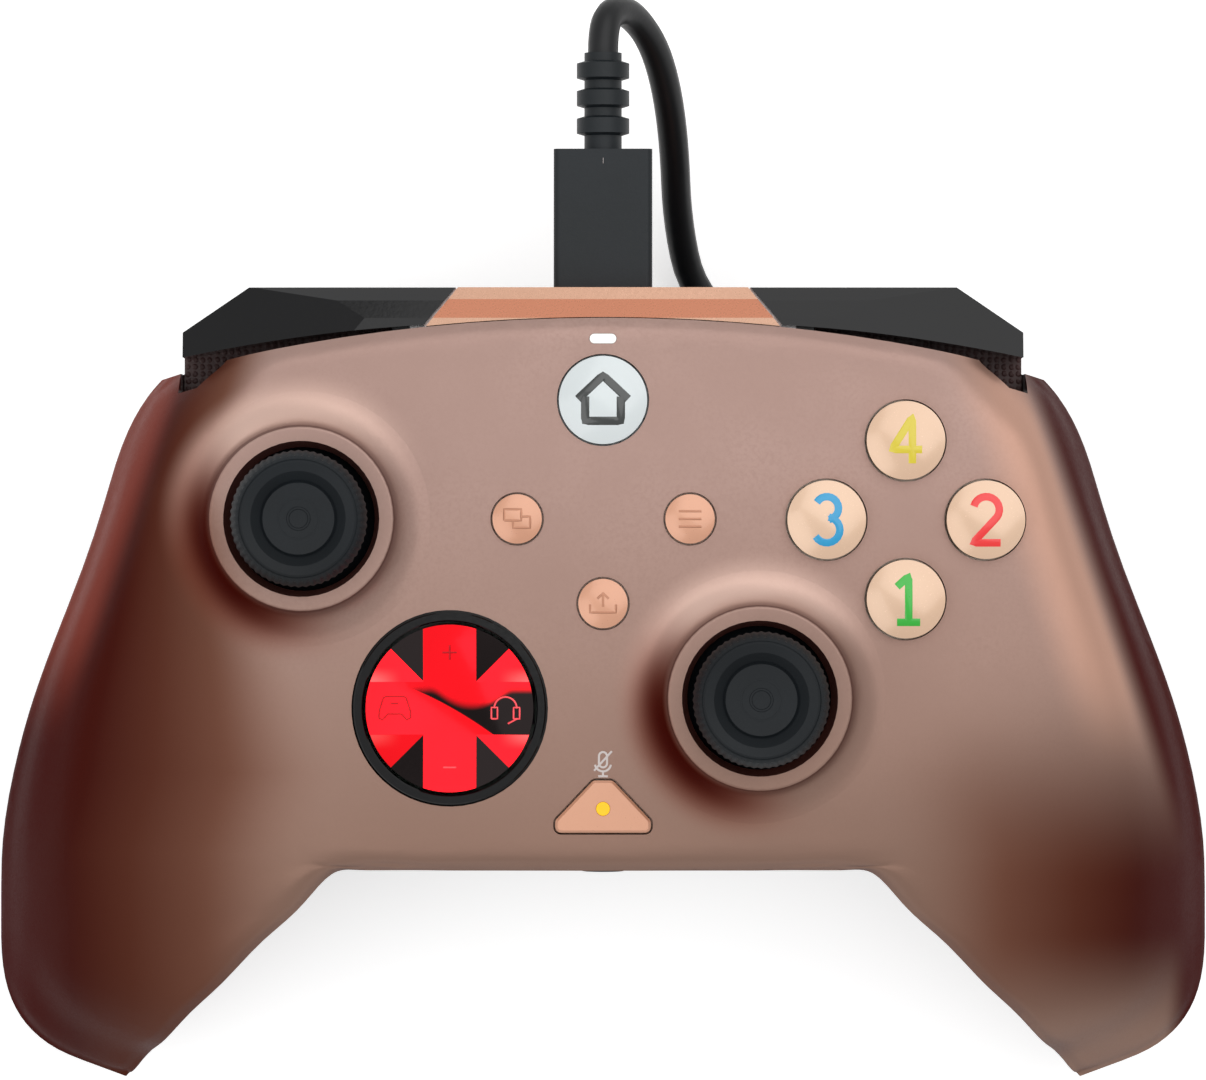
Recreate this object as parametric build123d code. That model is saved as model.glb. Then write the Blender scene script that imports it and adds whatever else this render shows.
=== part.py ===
from build123d import *
import math
import os
from functools import cache

# A wired gamepad lying on its back: X to the right, Y away from the player, Z up out of its face.
# Every length is in millimetres and every angle in degrees.

# Fits and clearances shared by all pieces
BUTTON_GAP = 0.25
RUN_GAP = 0.05
MOVE_GAP = 0.4
SEAT_GAP = 0.05
LINE_GAP = 0.3
OVERRUN = 6.0
SURFACE_TOLERANCE = 0.05

# Case, seen from above
HALF_WIDTH = 77.0
HALF_DEPTH = 50.2
TOP_EDGE_Y = 46.3
TOP_EDGE_RADIUS = 215.0
CROTCH_HALF = 33.2
CROTCH_Y = -22.2
CROTCH_RADIUS = 3.0
# Right-hand side from shoulder to grip tip, as shares of half width and half depth
SIDE_X_SHARES = (0.722, 0.751, 0.826, 0.899, 0.965, 0.995, 1.0, 0.988, 0.939, 0.871, 0.797)
SIDE_Y_SHARES = (0.777, 0.723, 0.424, 0.1215, -0.183, -0.44, -0.618, -0.797, -0.902, -0.958, -1.0)

# Case, seen from the side
FACE_Z = 46.0
BELLY_Z = 19.0
WALL = 2.2
SEAM_Z = 29.0
SEAM_TIP_Z = 13.0
SEAM_BEND_Y = 5.0
SEAM_BEND_LENGTH = 55.0
SEAM_RIM = 1.0
CROWN_START_X = 20.0
CROWN_RADIUS = 415.0
GRIP_START_X = 45.0
GRIP_ANGLE = 65.2
GRIP_REACH = 52.6
GRIP_DROOP = 21.0
SIDE_ROLL = 11.0
SIDE_ROLL_EXTRA = 4.0
SIDE_ROLL_START_Y = 30.0
SIDE_ROLL_LENGTH = 60.0
EDGE_ROLL = 2.4
SIDE_ROLL_POWER = 2.5
EDGE_ROLL_POWER = 2.0
TOP_BEVEL_WIDTH = 1.5
TOP_BEVEL_DEPTH = 0.9
REAR_SIDE_ROLL = 16.0
REAR_EDGE_ROLL = 7.0
REAR_BEVEL_WIDTH = 4.0
REAR_BEVEL_DEPTH = 3.0
FAR_REACHES = (1.5, 3.5, 6.0)
HOLLOW_START_Y = 30.0
HOLLOW_LENGTH = 68.0
GRIP_LINE_START_Y = 25.0
GRIP_LINE_LENGTH = 75.0
GRIP_LINE_X = 50.0
GRIP_LINE_SPREAD = 14.0
GRIP_WIDTH = 14.0
GRIP_LINE_POWER = 1.3
GRIP_FOOT_DEPTH = 0.9

# Grid on which the case surfaces are laid, as shares of their width and height
ROLL_STEPS = 6
LOW_ROLL_STEPS = 4
SIDE_ROLL_SHARE = 0.11
ACROSS_SHARES = (0.145, 0.18, 0.2, 0.225, 0.26, 0.31, 0.37, 0.435)
BOTTOM_ROLL_SHARE = 0.04
TOP_ROLL_SHARE = 0.022
UP_SHARES = (0.07, 0.11, 0.16, 0.22, 0.29, 0.36, 0.44, 0.52, 0.6, 0.68, 0.76, 0.83, 0.89, 0.935, 0.965)
GRIP_EDGE_SHARE = 0.2
MITER_POWER = 12

# Sticks
LEFT_STICK = (-37.1, 21.4)
RIGHT_STICK = (19.3, -0.7)
COLLAR_TOP_Z = 50.0
COLLAR_TOP_R = 11.3
COLLAR_DRAFT = 2.7
COLLAR_DEPTH = 10.0
COLLAR_FOOT_R = 4.4
COLLAR_HOLE_R = 9.6
COLLAR_THROAT_R = 8.9
COLLAR_THROAT_Z = 46.0
COLLAR_THROAT_LENGTH = 1.0
STICK_PIVOT_Z = 37.0
STICK_TILT = 17.0
STICK_NECK_R = 3.0
STICK_CAP_R = 8.2
STICK_CAP_TOP_Z = 58.6
STICK_CAP_UNDER_Z = 54.2
STICK_CAP_GROOVE_R = 4.65
STICK_CAP_CREST_R = 6.9
STICK_CAP_DISH = 1.3
STICK_CAP_EDGE = 1.1
DOME_R = 11.2
DOME_WALL = 0.7
DOME_RIM_ANGLE = 66.0
STEM_R = 1.7
STEM_HUB_R = 2.6
STEM_SOCKET_Z = 44.0
STEM_TOP_Z = 55.0
YOKE_OUTER = 5.2
YOKE_INNER = 3.4
YOKE_HEIGHT = 3.0
PIVOT_PIN_R = 0.9
HOUSING_HALF = 6.9
HOUSING_WALL = 0.8
HOUSING_HEIGHT = 9.0
HOUSING_HOLE_R = 6.0
SENSOR_WIDTH = 7.0
SENSOR_DEPTH = 2.3
SENSOR_HEIGHT = 7.5
CLICK_TRAVEL = 0.5

# Main board
BOARD_TOP_Z = 31.0
BOARD_THICK = 1.6
BOARD_HALF_X = 51.0
BOARD_LOW_Y = -5.5
BOARD_HIGH_Y = 34.3
BOARD_TONGUE_HALF = 31.0
BOARD_TONGUE_LOW_Y = -18.4
BOARD_TONGUE_HIGH_Y = 40.6
BOARD_CORNER_R = 2.0

# Face buttons: centres and sizes
FACE_BUTTONS = {"north": (37.4, 31.1), "west": (27.6, 21.3), "east": (47.3, 21.3), "south": (37.4, 11.5)}
FACE_BUTTON_R = 4.85
FACE_BUTTON_RISE = 1.5
FACE_BUTTON_DOME = 0.8
FACE_BUTTON_TRAVEL = 1.5
FLANGE_WIDTH = 1.0
FLANGE_THICK = 1.0
FLANGE_GAP = 1.35
STEM_SHARE = 0.6
HOME_CENTRE = (0.0, 36.1)
HOME_R = 5.45
HOME_RISE = 0.4
HOME_DOME = 1.1
HOME_TRAVEL = 0.6
SMALL_BUTTONS = {"view": (-10.6, 21.4), "menu": (10.75, 21.4), "share": (0.0, 10.95)}
SMALL_BUTTON_R = 3.05
SMALL_BUTTON_RISE = 0.5
SMALL_BUTTON_DOME = 0.5
SMALL_BUTTON_TRAVEL = 0.8
FUNCTION_CENTRE = (0.0, -14.6)
FUNCTION_HALF_WIDTH = 5.9
FUNCTION_LOW = -2.75
FUNCTION_HIGH = 3.7
FUNCTION_CORNER_R = 1.5
FUNCTION_TOP_HALF = 1.2
FUNCTION_RISE = 0.6
FUNCTION_LENS_R = 0.85
FUNCTION_LENS_Y = 0.2
STATUS_LENS_Y = 43.7
STATUS_LENS_HALF = 1.65
STATUS_LENS_WIDTH = 1.2
STATUS_LENS_RISE = 0.1

# Rubber mat under the buttons
MAT_THICK = 0.8
MAT_DOME_R = 3.1
MAT_DOME_TOP_R = 2.2
MAT_SMALL_DOME_R = 2.0
MAT_REACH = 14.4
MAT_BAR_HALF = 3.2

# Directional pad
PAD_CENTRE = (-18.95, -2.0)
PAD_HOLE_R = 12.15
PAD_RING_R = 11.9
PAD_RING_BORE_R = 10.75
PAD_RING_RISE = 0.25
PAD_DISH_R = 10.35
PAD_RIM_Z = 46.5
PAD_BOTTOM_Z = 43.6
PAD_BOWL_DEPTH = 1.3
PAD_ARM_WIDTH = 6.5
PAD_FACET_SLOPE = 0.2
PAD_FACET_RISE = 0.13
PAD_FACET_STEP = 0.25
PAD_PIVOT_Z = 43.0
PAD_TILT = 3.0
PAD_HUB_R = 2.0
PAD_CROSS_OUTER = 5.6
PAD_CROSS_INNER = 3.6
PAD_CROSS_HEIGHT = 2.6
PAD_POST_R = 2.4
PAD_PIN_R = 0.8

# Bumpers and the bridge between them
BUMPER_LOW_Z = 32.8
BUMPER_TOP_Z = 44.2
BUMPER_PIVOT = (21.4, 41.9)
BUMPER_ANGLE = 2.0
BUMPER_SWING_GAP = 1.35
BUMPER_END_X = 18.3
BUMPER_OUTER_X = 52.3
BUMPER_CORNER_Y = 44.6
BUMPER_SHOULDER_X = 44.0
BUMPER_RIDGE_Y = 48.5
BUMPER_RIDGE_X = 33.0
BUMPER_RIDGE_Z = 43.3
BUMPER_FRONT_Z = 41.2
BUMPER_CORNER_Z = 40.6
BUMPER_WALL = 1.8
BUMPER_ARM_LOW_Z = 32.8
BUMPER_ARM_HIGH_Z = 36.0
BUMPER_ARM_HALF = 2.2
BUMPER_ARM_REACH = 5.0
BUMPER_PIN_R = 0.9
BUMPER_EDGE_R = 0.35
LIP_Z = 41.0
OPENING_HALF = 53.0
BRIDGE_LOW_Z = 26.5
BRIDGE_TOP_Z = 44.9
BRIDGE_LEDGE_Y = 48.7
BRIDGE_LEDGE_Z = 42.7
BRIDGE_FRONT_Z = 42.1
BRIDGE_SLANT = 3.9
BRIDGE_HOOK = 2.4

# Inner frame behind the bridge
FRAME_HALF = 26.5
FRAME_DEPTH = 4.6
FRAME_TOP_Z = 40.4

# Triggers
TRIGGER_INNER_X = 33.0
TRIGGER_OUTER_X = 51.9
TRIGGER_SHOULDER_X = 44.6
TRIGGER_CORNER_X = 49.3
TRIGGER_CORNER_Y = 46.0
TRIGGER_FRONT_Y = 50.5
TRIGGER_TOP_Z = 30.4
TRIGGER_TIP_Z = 1.0
TRIGGER_PIVOT_Y = 42.0
TRIGGER_PIVOT_Z = 26.5
TRIGGER_WALL = 2.0
TRIGGER_ANGLE = 16.0
TRIGGER_PIN_R = 1.0
TRIGGER_EAR_R = 2.1
TRIGGER_EAR_X = 38.3
TRIGGER_EAR_FAR_X = 44.7
TRIGGER_EAR_THICK = 2.0
TRIGGER_EDGE_R = 1.4
# Front curve, top to tip: shares of the height and of the reach from pivot to front
TRIGGER_FRONT_Z_SHARES = (1.0, 0.86, 0.55, 0.25, 0.08, 0.0)
TRIGGER_FRONT_Y_SHARES = (0.14, 0.0, 0.11, 0.34, 0.36, 0.27)
TRIGGER_BACK_Z_SHARES = (0.0, 0.24, 0.71, 1.0)
TRIGGER_BACK_Y_SHARES = (0.553, 0.706, 1.12, 1.07)
TRIGGER_HOLLOW_Z_SHARE = 0.27
LUG_X = 36.0
LUG_FAR_X = 47.0
LUG_THICK = 2.0
LUG_R = 1.6
POCKET_WALL = 1.5
POCKET_GAP = 0.45
POCKET_BACK_Y = 36.2
POCKET_ROOF_Z = 30.9
POCKET_ROOF_THICK = 1.5
POCKET_ROOF_OUTER_X = 51.0
ROOF_LEDGE_INNER_X = 24.5
ROOF_LEDGE_OUTER_X = 52.6
ROOF_LEDGE_REACH = 2.6
POCKET_LEAN = 2.05
SPRING_WIRE_R = 0.25
SPRING_COIL_R = 1.5
SPRING_TURNS = 4
SPRING_PITCH = 0.85

# Rumble motors
MOTOR_Y = -18.0
MOTOR_Z = 24.0
MOTOR_R = 6.0
MOTOR_INNER_X = 40.2
MOTOR_OUTER_X = 52.0
MOTOR_SHAFT_R = 1.0
WEIGHT_R = 9.0
WEIGHT_LENGTH = 7.0
WEIGHT_HUB_R = 2.2
CRADLE_THICK = 2.4
CRADLE_HALF = 4.5
CRADLE_FOOT_Z = 8.0

# Back buttons
BACK_BUTTON = (44.6, 4.0)
BACK_BUTTON_LENGTH = 17.0
BACK_BUTTON_WIDTH = 8.0
BACK_BUTTON_RISE = 1.0
BACK_BUTTON_TRAVEL = 0.8
BACK_BUTTON_STEM_R = 2.0
BACK_BUTTON_STEM_TOP_Z = 24.6

# Screws and their posts
CASE_SCREWS = ((55.2, 3.5), (-55.2, 3.5), (62.0, -38.0), (-62.0, -38.0), (0.0, 26.0))
POST_R = 3.2
BOSS_R = 3.0
SCREW_SHANK_R = 1.3
SCREW_BORE_R = 1.4
SCREW_HEAD_R = 2.5
SCREW_HEAD_HEIGHT = 1.8
SCREW_RECESS_R = 2.8
SCREW_LENGTH = 10.0
SCREW_SEAT = 4.5
SCREW_SLOT = 0.7
BOARD_SCREWS = ((27.5, 36.5), (-27.5, 36.5), (27.5, -15.5), (-27.5, -15.5))
BOARD_POST_R = 2.4
BOARD_SCREW_R = 0.9
BOARD_SCREW_HEAD_R = 1.9
BOARD_SCREW_HEAD = 1.3
BOARD_SCREW_LENGTH = 6.0

# Sockets on the board
USB_HALF = 4.47
USB_HEIGHT = 3.2
USB_LENGTH = 7.4
USB_WALL = 0.3
USB_FRONT_Y = 46.0
JACK_HALF = 3.2
JACK_HEIGHT = 5.0
JACK_LENGTH = 11.5
JACK_BARREL_R = 2.6
JACK_BORE_R = 1.78
JACK_BARREL_LENGTH = 3.2
BUMPER_SWITCH = (29.0, 40.2)
SWITCH_HALF = 1.6
SWITCH_HEIGHT = 2.2
SWITCH_PLUNGER_R = 1.0
SWITCH_PLUNGER = 1.2
CHIP_HEIGHT = 1.0

# Cable: plug, relief and cord
CORD_R = 1.9
PLUG_Z = 32.6
PLUG_HALF = 6.18
PLUG_HEIGHT = 6.5
PLUG_BACK_Y = 47.0
PLUG_END_Y = 67.8
PLUG_EDGE_R = 0.8
TIP_HALF = 4.12
TIP_HEIGHT = 2.4
TIP_LENGTH = 5.6
RELIEF_R = 3.3
RELIEF_NECK_R = 2.35
RELIEF_END_Y = 80.0
RELIEF_RIBS = 3
RELIEF_RIB_SHARE = 0.62
RELIEF_BORE_LENGTH = 2.0

# Route of the lead from the strain relief to the coil, chosen point by point
LEAD_ROUTE = (
    (0.0, 80.0, 32.6),
    (0.0, 83.3, 32.6),
    (1.2, 85.6, 30.6),
    (3.5, 85.6, 27.0),
    (6.3, 82.3, 22.6),
    (8.1, 77.0, 18.4),
    (9.2, 69.6, 13.4),
    (9.6, 60.4, 7.6),
    (11.6, 51.2, 3.0),
    (18.6, 45.4, 2.1),
    (26.6, 40.4, 2.1),
    (31.8, 32.8, 2.2),
    (32.4, 23.6, 2.5),
    (32.4, 13.0, 2.5),
)
# Route of the tail from the coil to the far plug
TAIL_ROUTE = (
    (0.0, -18.325, 15.25),
    (-9.0, -18.325, 15.25),
    (-18.6, -18.9, 13.2),
    (-28.6, -19.4, 9.4),
    (-37.4, -18.6, 5.7),
    (-43.2, -12.4, 3.9),
    (-43.2, -4.6, 3.9),
)
COIL_CENTRE = (0.0, 13.0)
COIL_OUTER_R = 32.4
COIL_PITCH = 4.3
COIL_LIFT = 4.25
COIL_LOW_Z = 2.5
COIL_LAYER_QUARTERS = (18, 18, 18, 17)
COIL_CLIMB_QUARTERS = 2
TIE_THICK = 0.5
TIE_WIDTH = 6.0
TIE_GAP = 0.1
TIE_ANGLE = 150.0
FAR_PLUG_X = -43.2
FAR_PLUG_Z = 3.9
FAR_RELIEF_LENGTH = 7.0
FAR_PLUG_LENGTH = 22.0
FAR_PLUG_HALF = 7.6
FAR_PLUG_HEIGHT = 7.4
FAR_TIP_LENGTH = 12.0
FAR_TIP_HALF = 6.0
FAR_TIP_HEIGHT = 4.5
FAR_TIP_WALL = 0.4


def smooth_step(share):
    """A smooth ramp from 0 to 1."""
    share = min(max(share, 0.0), 1.0)
    return share * share * (3 - 2 * share)


def edge_share(share, power):
    """Height share of a rounded edge at a share of its width: the higher the power, the steeper its foot."""
    share = min(max(share, 0.0), 1.0)
    return 1 - (1 - share) ** power


def box(x0, x1, y0, y1, z0, z1):
    """A block between two corners."""
    return Pos((x0 + x1) / 2, (y0 + y1) / 2, (z0 + z1) / 2) * Box(abs(x1 - x0), abs(y1 - y0), abs(z1 - z0))


def rod(x, y, z0, z1, radius):
    """A cylinder along Z."""
    return Pos(x, y, (z0 + z1) / 2) * Cylinder(radius, abs(z1 - z0))


def rod_x(x0, x1, y, z, radius):
    """A cylinder along X."""
    return Pos((x0 + x1) / 2, y, z) * Rot(0, 90, 0) * Cylinder(radius, abs(x1 - x0))


def rod_y(x, y0, y1, z, radius):
    """A cylinder along Y."""
    return Pos(x, (y0 + y1) / 2, z) * Rot(90, 0, 0) * Cylinder(radius, abs(y1 - y0))


def turned(points):
    """A solid turned about the Z axis from an outline of (radius, height) points."""
    outline = make_face(Polyline(*[(radius, 0, height) for radius, height in points], close=True))
    return revolve(outline, Axis.Z)


def prism(points, z0, z1):
    """A solid raised from an outline of (x, y) points."""
    outline = make_face(Polyline(*[(x, y, z0) for x, y in points], close=True))
    return extrude(outline, z1 - z0, dir=(0, 0, 1))


def side_prism(points, x0, x1):
    """A solid drawn along X from an outline of (y, z) points."""
    outline = make_face(Polyline(*[(x0, y, z) for y, z in points], close=True))
    return extrude(outline, x1 - x0, dir=(1, 0, 0))


def rounded_bar(x_half, z_half, y0, y1, x, z, radius):
    """A bar along Y with rounded corners."""
    outline = Plane((x, y0, z), x_dir=(1, 0, 0), z_dir=(0, 1, 0)) * RectangleRounded(2 * x_half, 2 * z_half, radius)
    return extrude(outline, y1 - y0, dir=(0, 1, 0))


def half_space(a, b, c, reach):
    """A large block that lies above the plane through three points."""
    normal = (Vector(*b) - Vector(*a)).cross(Vector(*c) - Vector(*a))
    if normal.Z < 0:
        normal = normal * -1
    plane = Plane(Vector(*a), x_dir=Vector(*b) - Vector(*a), z_dir=normal)
    return extrude(plane * Rectangle(2 * reach, 2 * reach), reach, dir=normal.normalized())


def mirrored(shape):
    """The same piece on the other side of the gamepad."""
    return mirror(shape, about=Plane.YZ)


# Case outline and surfaces


def top_edge_y(x):
    """The far edge of the face, an arc of large radius."""
    return TOP_EDGE_Y - (TOP_EDGE_RADIUS - math.sqrt(TOP_EDGE_RADIUS**2 - x * x))


def top_disc(z0, z1, inset):
    """A disc under the arc of the far edge, drawn in by an inset."""
    return rod(0, TOP_EDGE_Y - TOP_EDGE_RADIUS, z0, z1, TOP_EDGE_RADIUS - inset)


def beyond_far_edge(inset):
    """Everything beyond the arc of the far edge, drawn in by an inset."""
    side, high = HALF_WIDTH + OVERRUN, 2 * COLLAR_TOP_Z
    return box(-side, side, 0, HALF_DEPTH + 2 * OVERRUN, -high, high) - top_disc(-high - WALL, high + WALL, inset)


def seam_height(y):
    """Height of the seam between the two shells, which sinks towards the grip tips."""
    return SEAM_Z - (SEAM_Z - SEAM_TIP_Z) * smooth_step((SEAM_BEND_Y - y) / SEAM_BEND_LENGTH)


def face_height(x, y):
    """Height of the face before its edges are rounded."""
    angle = math.radians(GRIP_ANGLE)
    along = max(0.0, (abs(x) - GRIP_START_X) * math.cos(angle) - y * math.sin(angle))
    crown = max(0.0, abs(x) - CROWN_START_X) ** 2 / (2 * CROWN_RADIUS)
    return FACE_Z - crown - GRIP_DROOP * (along / GRIP_REACH) ** 2


def belly_height(x, y):
    """Height of the underside before its edges are rounded."""
    depth = (BELLY_Z + GRIP_FOOT_DEPTH) * smooth_step((HOLLOW_START_Y - y) / HOLLOW_LENGTH)
    along = min(max((GRIP_LINE_START_Y - y) / GRIP_LINE_LENGTH, 0.0), 1.0)
    line_x = GRIP_LINE_X + GRIP_LINE_SPREAD * along**GRIP_LINE_POWER
    return BELLY_Z - depth * math.exp(-(((abs(x) - line_x) / GRIP_WIDTH) ** 2))


def outline_curves():
    """Left side, right side and lower edge of the case, each drawn from the grip tip."""
    right = [Vector(HALF_WIDTH * a, HALF_DEPTH * b) for a, b in zip(SIDE_X_SHARES, SIDE_Y_SHARES)]
    right[0] = Vector(right[0].X, top_edge_y(right[0].X))
    right.reverse()
    tip = right[0]
    left = [Vector(-point.X, point.Y) for point in right]
    corners = ((-tip.X, tip.Y), (-CROTCH_HALF, CROTCH_Y), (CROTCH_HALF, CROTCH_Y), (tip.X, tip.Y))
    return Spline(*left), Spline(*right), FilletPolyline(*corners, radius=CROTCH_RADIUS)


def sampled(curve, shares):
    """Points of a curve and its unit tangents at shares of its length."""
    spots = [share * curve.length for share in shares]
    points = [curve.position_at(spot, PositionMode.LENGTH) for spot in spots]
    tangents = [curve.tangent_at(spot, PositionMode.LENGTH) for spot in spots]
    return points, tangents


def drawn_in(points, normals, shares, inset, first, last):
    """A boundary moved inwards, with its ends brought to two given corners."""
    moved = [point + normal * inset for point, normal in zip(points, normals)]
    start = first - moved[0]
    end = last - moved[-1]
    return [
        point + start * (1 - share) ** MITER_POWER + end * share**MITER_POWER
        for point, share in zip(moved, shares)
    ]


def grid_shares():
    """Shares across and up the case at which its surfaces are laid, close together on the rounded edges."""
    roll = [1 - math.cos(math.pi / 2 * step / ROLL_STEPS) for step in range(ROLL_STEPS + 1)]
    low_roll = [1 - math.cos(math.pi / 2 * step / LOW_ROLL_STEPS) for step in range(LOW_ROLL_STEPS + 1)]
    half = [SIDE_ROLL_SHARE * step for step in roll] + list(ACROSS_SHARES)
    across = half + [0.5] + [1 - share for share in reversed(half)]
    up = [BOTTOM_ROLL_SHARE * step for step in low_roll] + list(UP_SHARES)
    up += [1 - TOP_ROLL_SHARE, 1 - TOP_ROLL_SHARE / 2, 1]
    return across, up


def lower_edge_share(share, edge):
    """Share of the lower edge's length: the grips' inner edges take an equal share at each end."""
    grip = (edge.length - 2 * CROTCH_HALF) / 2 / edge.length
    if share < GRIP_EDGE_SHARE:
        return share / GRIP_EDGE_SHARE * grip
    if share > 1 - GRIP_EDGE_SHARE:
        return 1 - (1 - share) / GRIP_EDGE_SHARE * grip
    return grip + (share - GRIP_EDGE_SHARE) / (1 - 2 * GRIP_EDGE_SHARE) * (1 - 2 * grip)


def plan_grid(inset):
    """Grid of plan points over the case, and its four boundaries, drawn in by an inset."""
    across, up = grid_shares()
    left_curve, right_curve, low_curve = outline_curves()
    low, low_tangents = sampled(low_curve, [lower_edge_share(share, low_curve) for share in across])
    low_normals = [Vector(-t.Y, t.X) for t in low_tangents]
    left, left_tangents = sampled(left_curve, up)
    left_normals = [Vector(t.Y, -t.X) for t in left_tangents]
    right, right_tangents = sampled(right_curve, up)
    right_normals = [Vector(-t.Y, t.X) for t in right_tangents]
    reach = right[-1].X
    top = [Vector(x, top_edge_y(x)) for x in [reach * (2 * share - 1) for share in across]]
    top_normals = [Vector(-p.X, TOP_EDGE_Y - TOP_EDGE_RADIUS - p.Y).normalized() for p in top]

    def corner(point, a, b):
        return point + (a + b) * (inset / (1 + a.dot(b)))

    low_left = corner(low[0], low_normals[0], left_normals[0])
    low_right = corner(low[-1], low_normals[-1], right_normals[0])
    top_left = corner(top[0], top_normals[0], left_normals[-1])
    top_right = corner(top[-1], top_normals[-1], right_normals[-1])
    low = drawn_in(low, low_normals, across, inset, low_left, low_right)
    top = drawn_in(top, top_normals, across, inset, top_left, top_right)
    left = drawn_in(left, left_normals, up, inset, low_left, top_left)
    right = drawn_in(right, right_normals, up, inset, low_right, top_right)
    rows = []
    for v, start, end in zip(up, left, right):
        row = []
        for u, below, above in zip(across, low, top):
            sides = below * (1 - v) + above * v + start * (1 - u) + end * u
            corners = low_left * ((1 - u) * (1 - v)) + low_right * (u * (1 - v))
            corners += top_left * ((1 - u) * v) + top_right * (u * v)
            row.append(sides - corners)
        rows.append(row)
    for reach in FAR_REACHES:
        corner_x = top_right.X + right_tangents[-1].X * reach
        rise = top_right.Y + right_tangents[-1].Y * reach - far_arc_y(corner_x, inset)
        spread = corner_x / top_right.X
        row = [Vector(p.X * spread, far_arc_y(p.X * spread, inset) + rise) for p in top]
        rows.append(row)
        left.append(row[0])
        right.append(row[-1])
    return rows, low, left, right


def far_arc_y(x, inset):
    """The far edge's arc, drawn in by an inset."""
    return TOP_EDGE_Y - TOP_EDGE_RADIUS + math.sqrt((TOP_EDGE_RADIUS - inset) ** 2 - x * x)


def far_distance(point, inset):
    """Distance in plan from a point to the far edge's arc, less than zero beyond it."""
    return TOP_EDGE_RADIUS - inset - math.hypot(point.X, point.Y - TOP_EDGE_Y + TOP_EDGE_RADIUS)


def distance_to(point, line):
    """Distance in plan from a point to a line of points."""
    nearest = math.inf
    for a, b in zip(line, line[1:]):
        run = b - a
        share = (point - a).dot(run) / run.dot(run)
        share = min(max(share, 0.0), 1.0)
        nearest = min(nearest, (point - a - run * share).length)
    return nearest


def rolled_height(base, rim, distances, widths, depth):
    """Height near the edges: the sides roll to the rim, the lower edge is rounded and the far edge is bevelled."""
    side, low, far = distances
    side_width, low_width, far_width = widths
    height = rim + (base - rim) * edge_share(side / side_width, SIDE_ROLL_POWER)
    sign = 1 if base > rim else -1
    room = 1 - math.exp(-abs(height - rim) / low_width)
    height -= sign * room * low_width * (1 - edge_share(low / low_width, EDGE_ROLL_POWER))
    return height - sign * room * depth * max(0.0, 1 - far / far_width)


def surface_over(rows, height_at):
    """A smooth face laid over a grid of plan points."""
    points = [[Vector(p.X, p.Y, height_at(p)) for p in row] for row in rows]
    return Face.make_surface_from_array_of_points(points, tol=SURFACE_TOLERANCE, min_deg=3, max_deg=3)


@cache
def front_solid(inset):
    """Everything under the face, drawn in and lowered by an inset."""
    rows, low, left, right = plan_grid(inset)

    def height_at(p):
        side = min(distance_to(p, left), distance_to(p, right))
        width = SIDE_ROLL + SIDE_ROLL_EXTRA * smooth_step((SIDE_ROLL_START_Y - p.Y) / SIDE_ROLL_LENGTH)
        distances = (side, distance_to(p, low), far_distance(p, inset))
        widths = (width, EDGE_ROLL, TOP_BEVEL_WIDTH)
        rim = seam_height(p.Y) + SEAM_RIM
        return rolled_height(face_height(p.X, p.Y), rim, distances, widths, TOP_BEVEL_DEPTH) - inset

    return Solid.extrude(surface_over(rows, height_at), Vector(0, 0, -FACE_Z - OVERRUN)) - beyond_far_edge(inset)


@cache
def rear_solid(inset, lift):
    """Everything above the underside, drawn in by an inset and raised by a lift."""
    rows, low, left, right = plan_grid(inset)

    def height_at(p):
        side = min(distance_to(p, left), distance_to(p, right))
        distances = (side, distance_to(p, low), far_distance(p, inset))
        widths = (REAR_SIDE_ROLL, REAR_EDGE_ROLL, REAR_BEVEL_WIDTH)
        rim = seam_height(p.Y) - SEAM_RIM
        return rolled_height(belly_height(p.X, p.Y), rim, distances, widths, REAR_BEVEL_DEPTH) + lift

    return Solid.extrude(surface_over(rows, height_at), Vector(0, 0, FACE_Z + OVERRUN)) - beyond_far_edge(inset)


def seam_block(above):
    """The space above or below the seam."""
    reach = HALF_DEPTH + OVERRUN
    steps = 12
    spots = [-reach + 2 * reach * step / steps for step in range(steps + 1)]
    side = -HALF_WIDTH - OVERRUN
    seam = Spline(*[(side, y, seam_height(y)) for y in spots])
    end_z = 2 * COLLAR_TOP_Z if above else -2 * COLLAR_TOP_Z
    far = (side, reach, seam_height(reach))
    near = (side, -reach, seam_height(-reach))
    rest = Polyline(far, (side, reach, end_z), (side, -reach, end_z), near)
    return extrude(make_face([seam, *rest.edges()]), -2 * side, dir=(1, 0, 0))


# Shells


def stick_places():
    return (LEFT_STICK, RIGHT_STICK)


def collar(x, y):
    """Raised ring round a stick, before its foot is blended into the face."""
    profile = (
        (0, COLLAR_TOP_Z),
        (COLLAR_TOP_R, COLLAR_TOP_Z),
        (COLLAR_TOP_R + COLLAR_DRAFT, COLLAR_TOP_Z - COLLAR_DEPTH),
        (0, COLLAR_TOP_Z - COLLAR_DEPTH),
    )
    return Pos(x, y, 0) * turned(profile)


def collar_hole(x, y):
    """Funnel, throat and lower relief of a stick's hole."""
    throat_low = COLLAR_THROAT_Z - COLLAR_THROAT_LENGTH
    low = FACE_Z - WALL - OVERRUN
    profile = (
        (0, COLLAR_TOP_Z + OVERRUN),
        (COLLAR_HOLE_R, COLLAR_TOP_Z + OVERRUN),
        (COLLAR_HOLE_R, COLLAR_TOP_Z),
        (COLLAR_THROAT_R, COLLAR_THROAT_Z),
        (COLLAR_THROAT_R, throat_low),
        (COLLAR_HOLE_R, throat_low - COLLAR_THROAT_LENGTH),
        (COLLAR_HOLE_R, low),
        (0, low),
    )
    return Pos(x, y, 0) * turned(profile)


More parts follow.
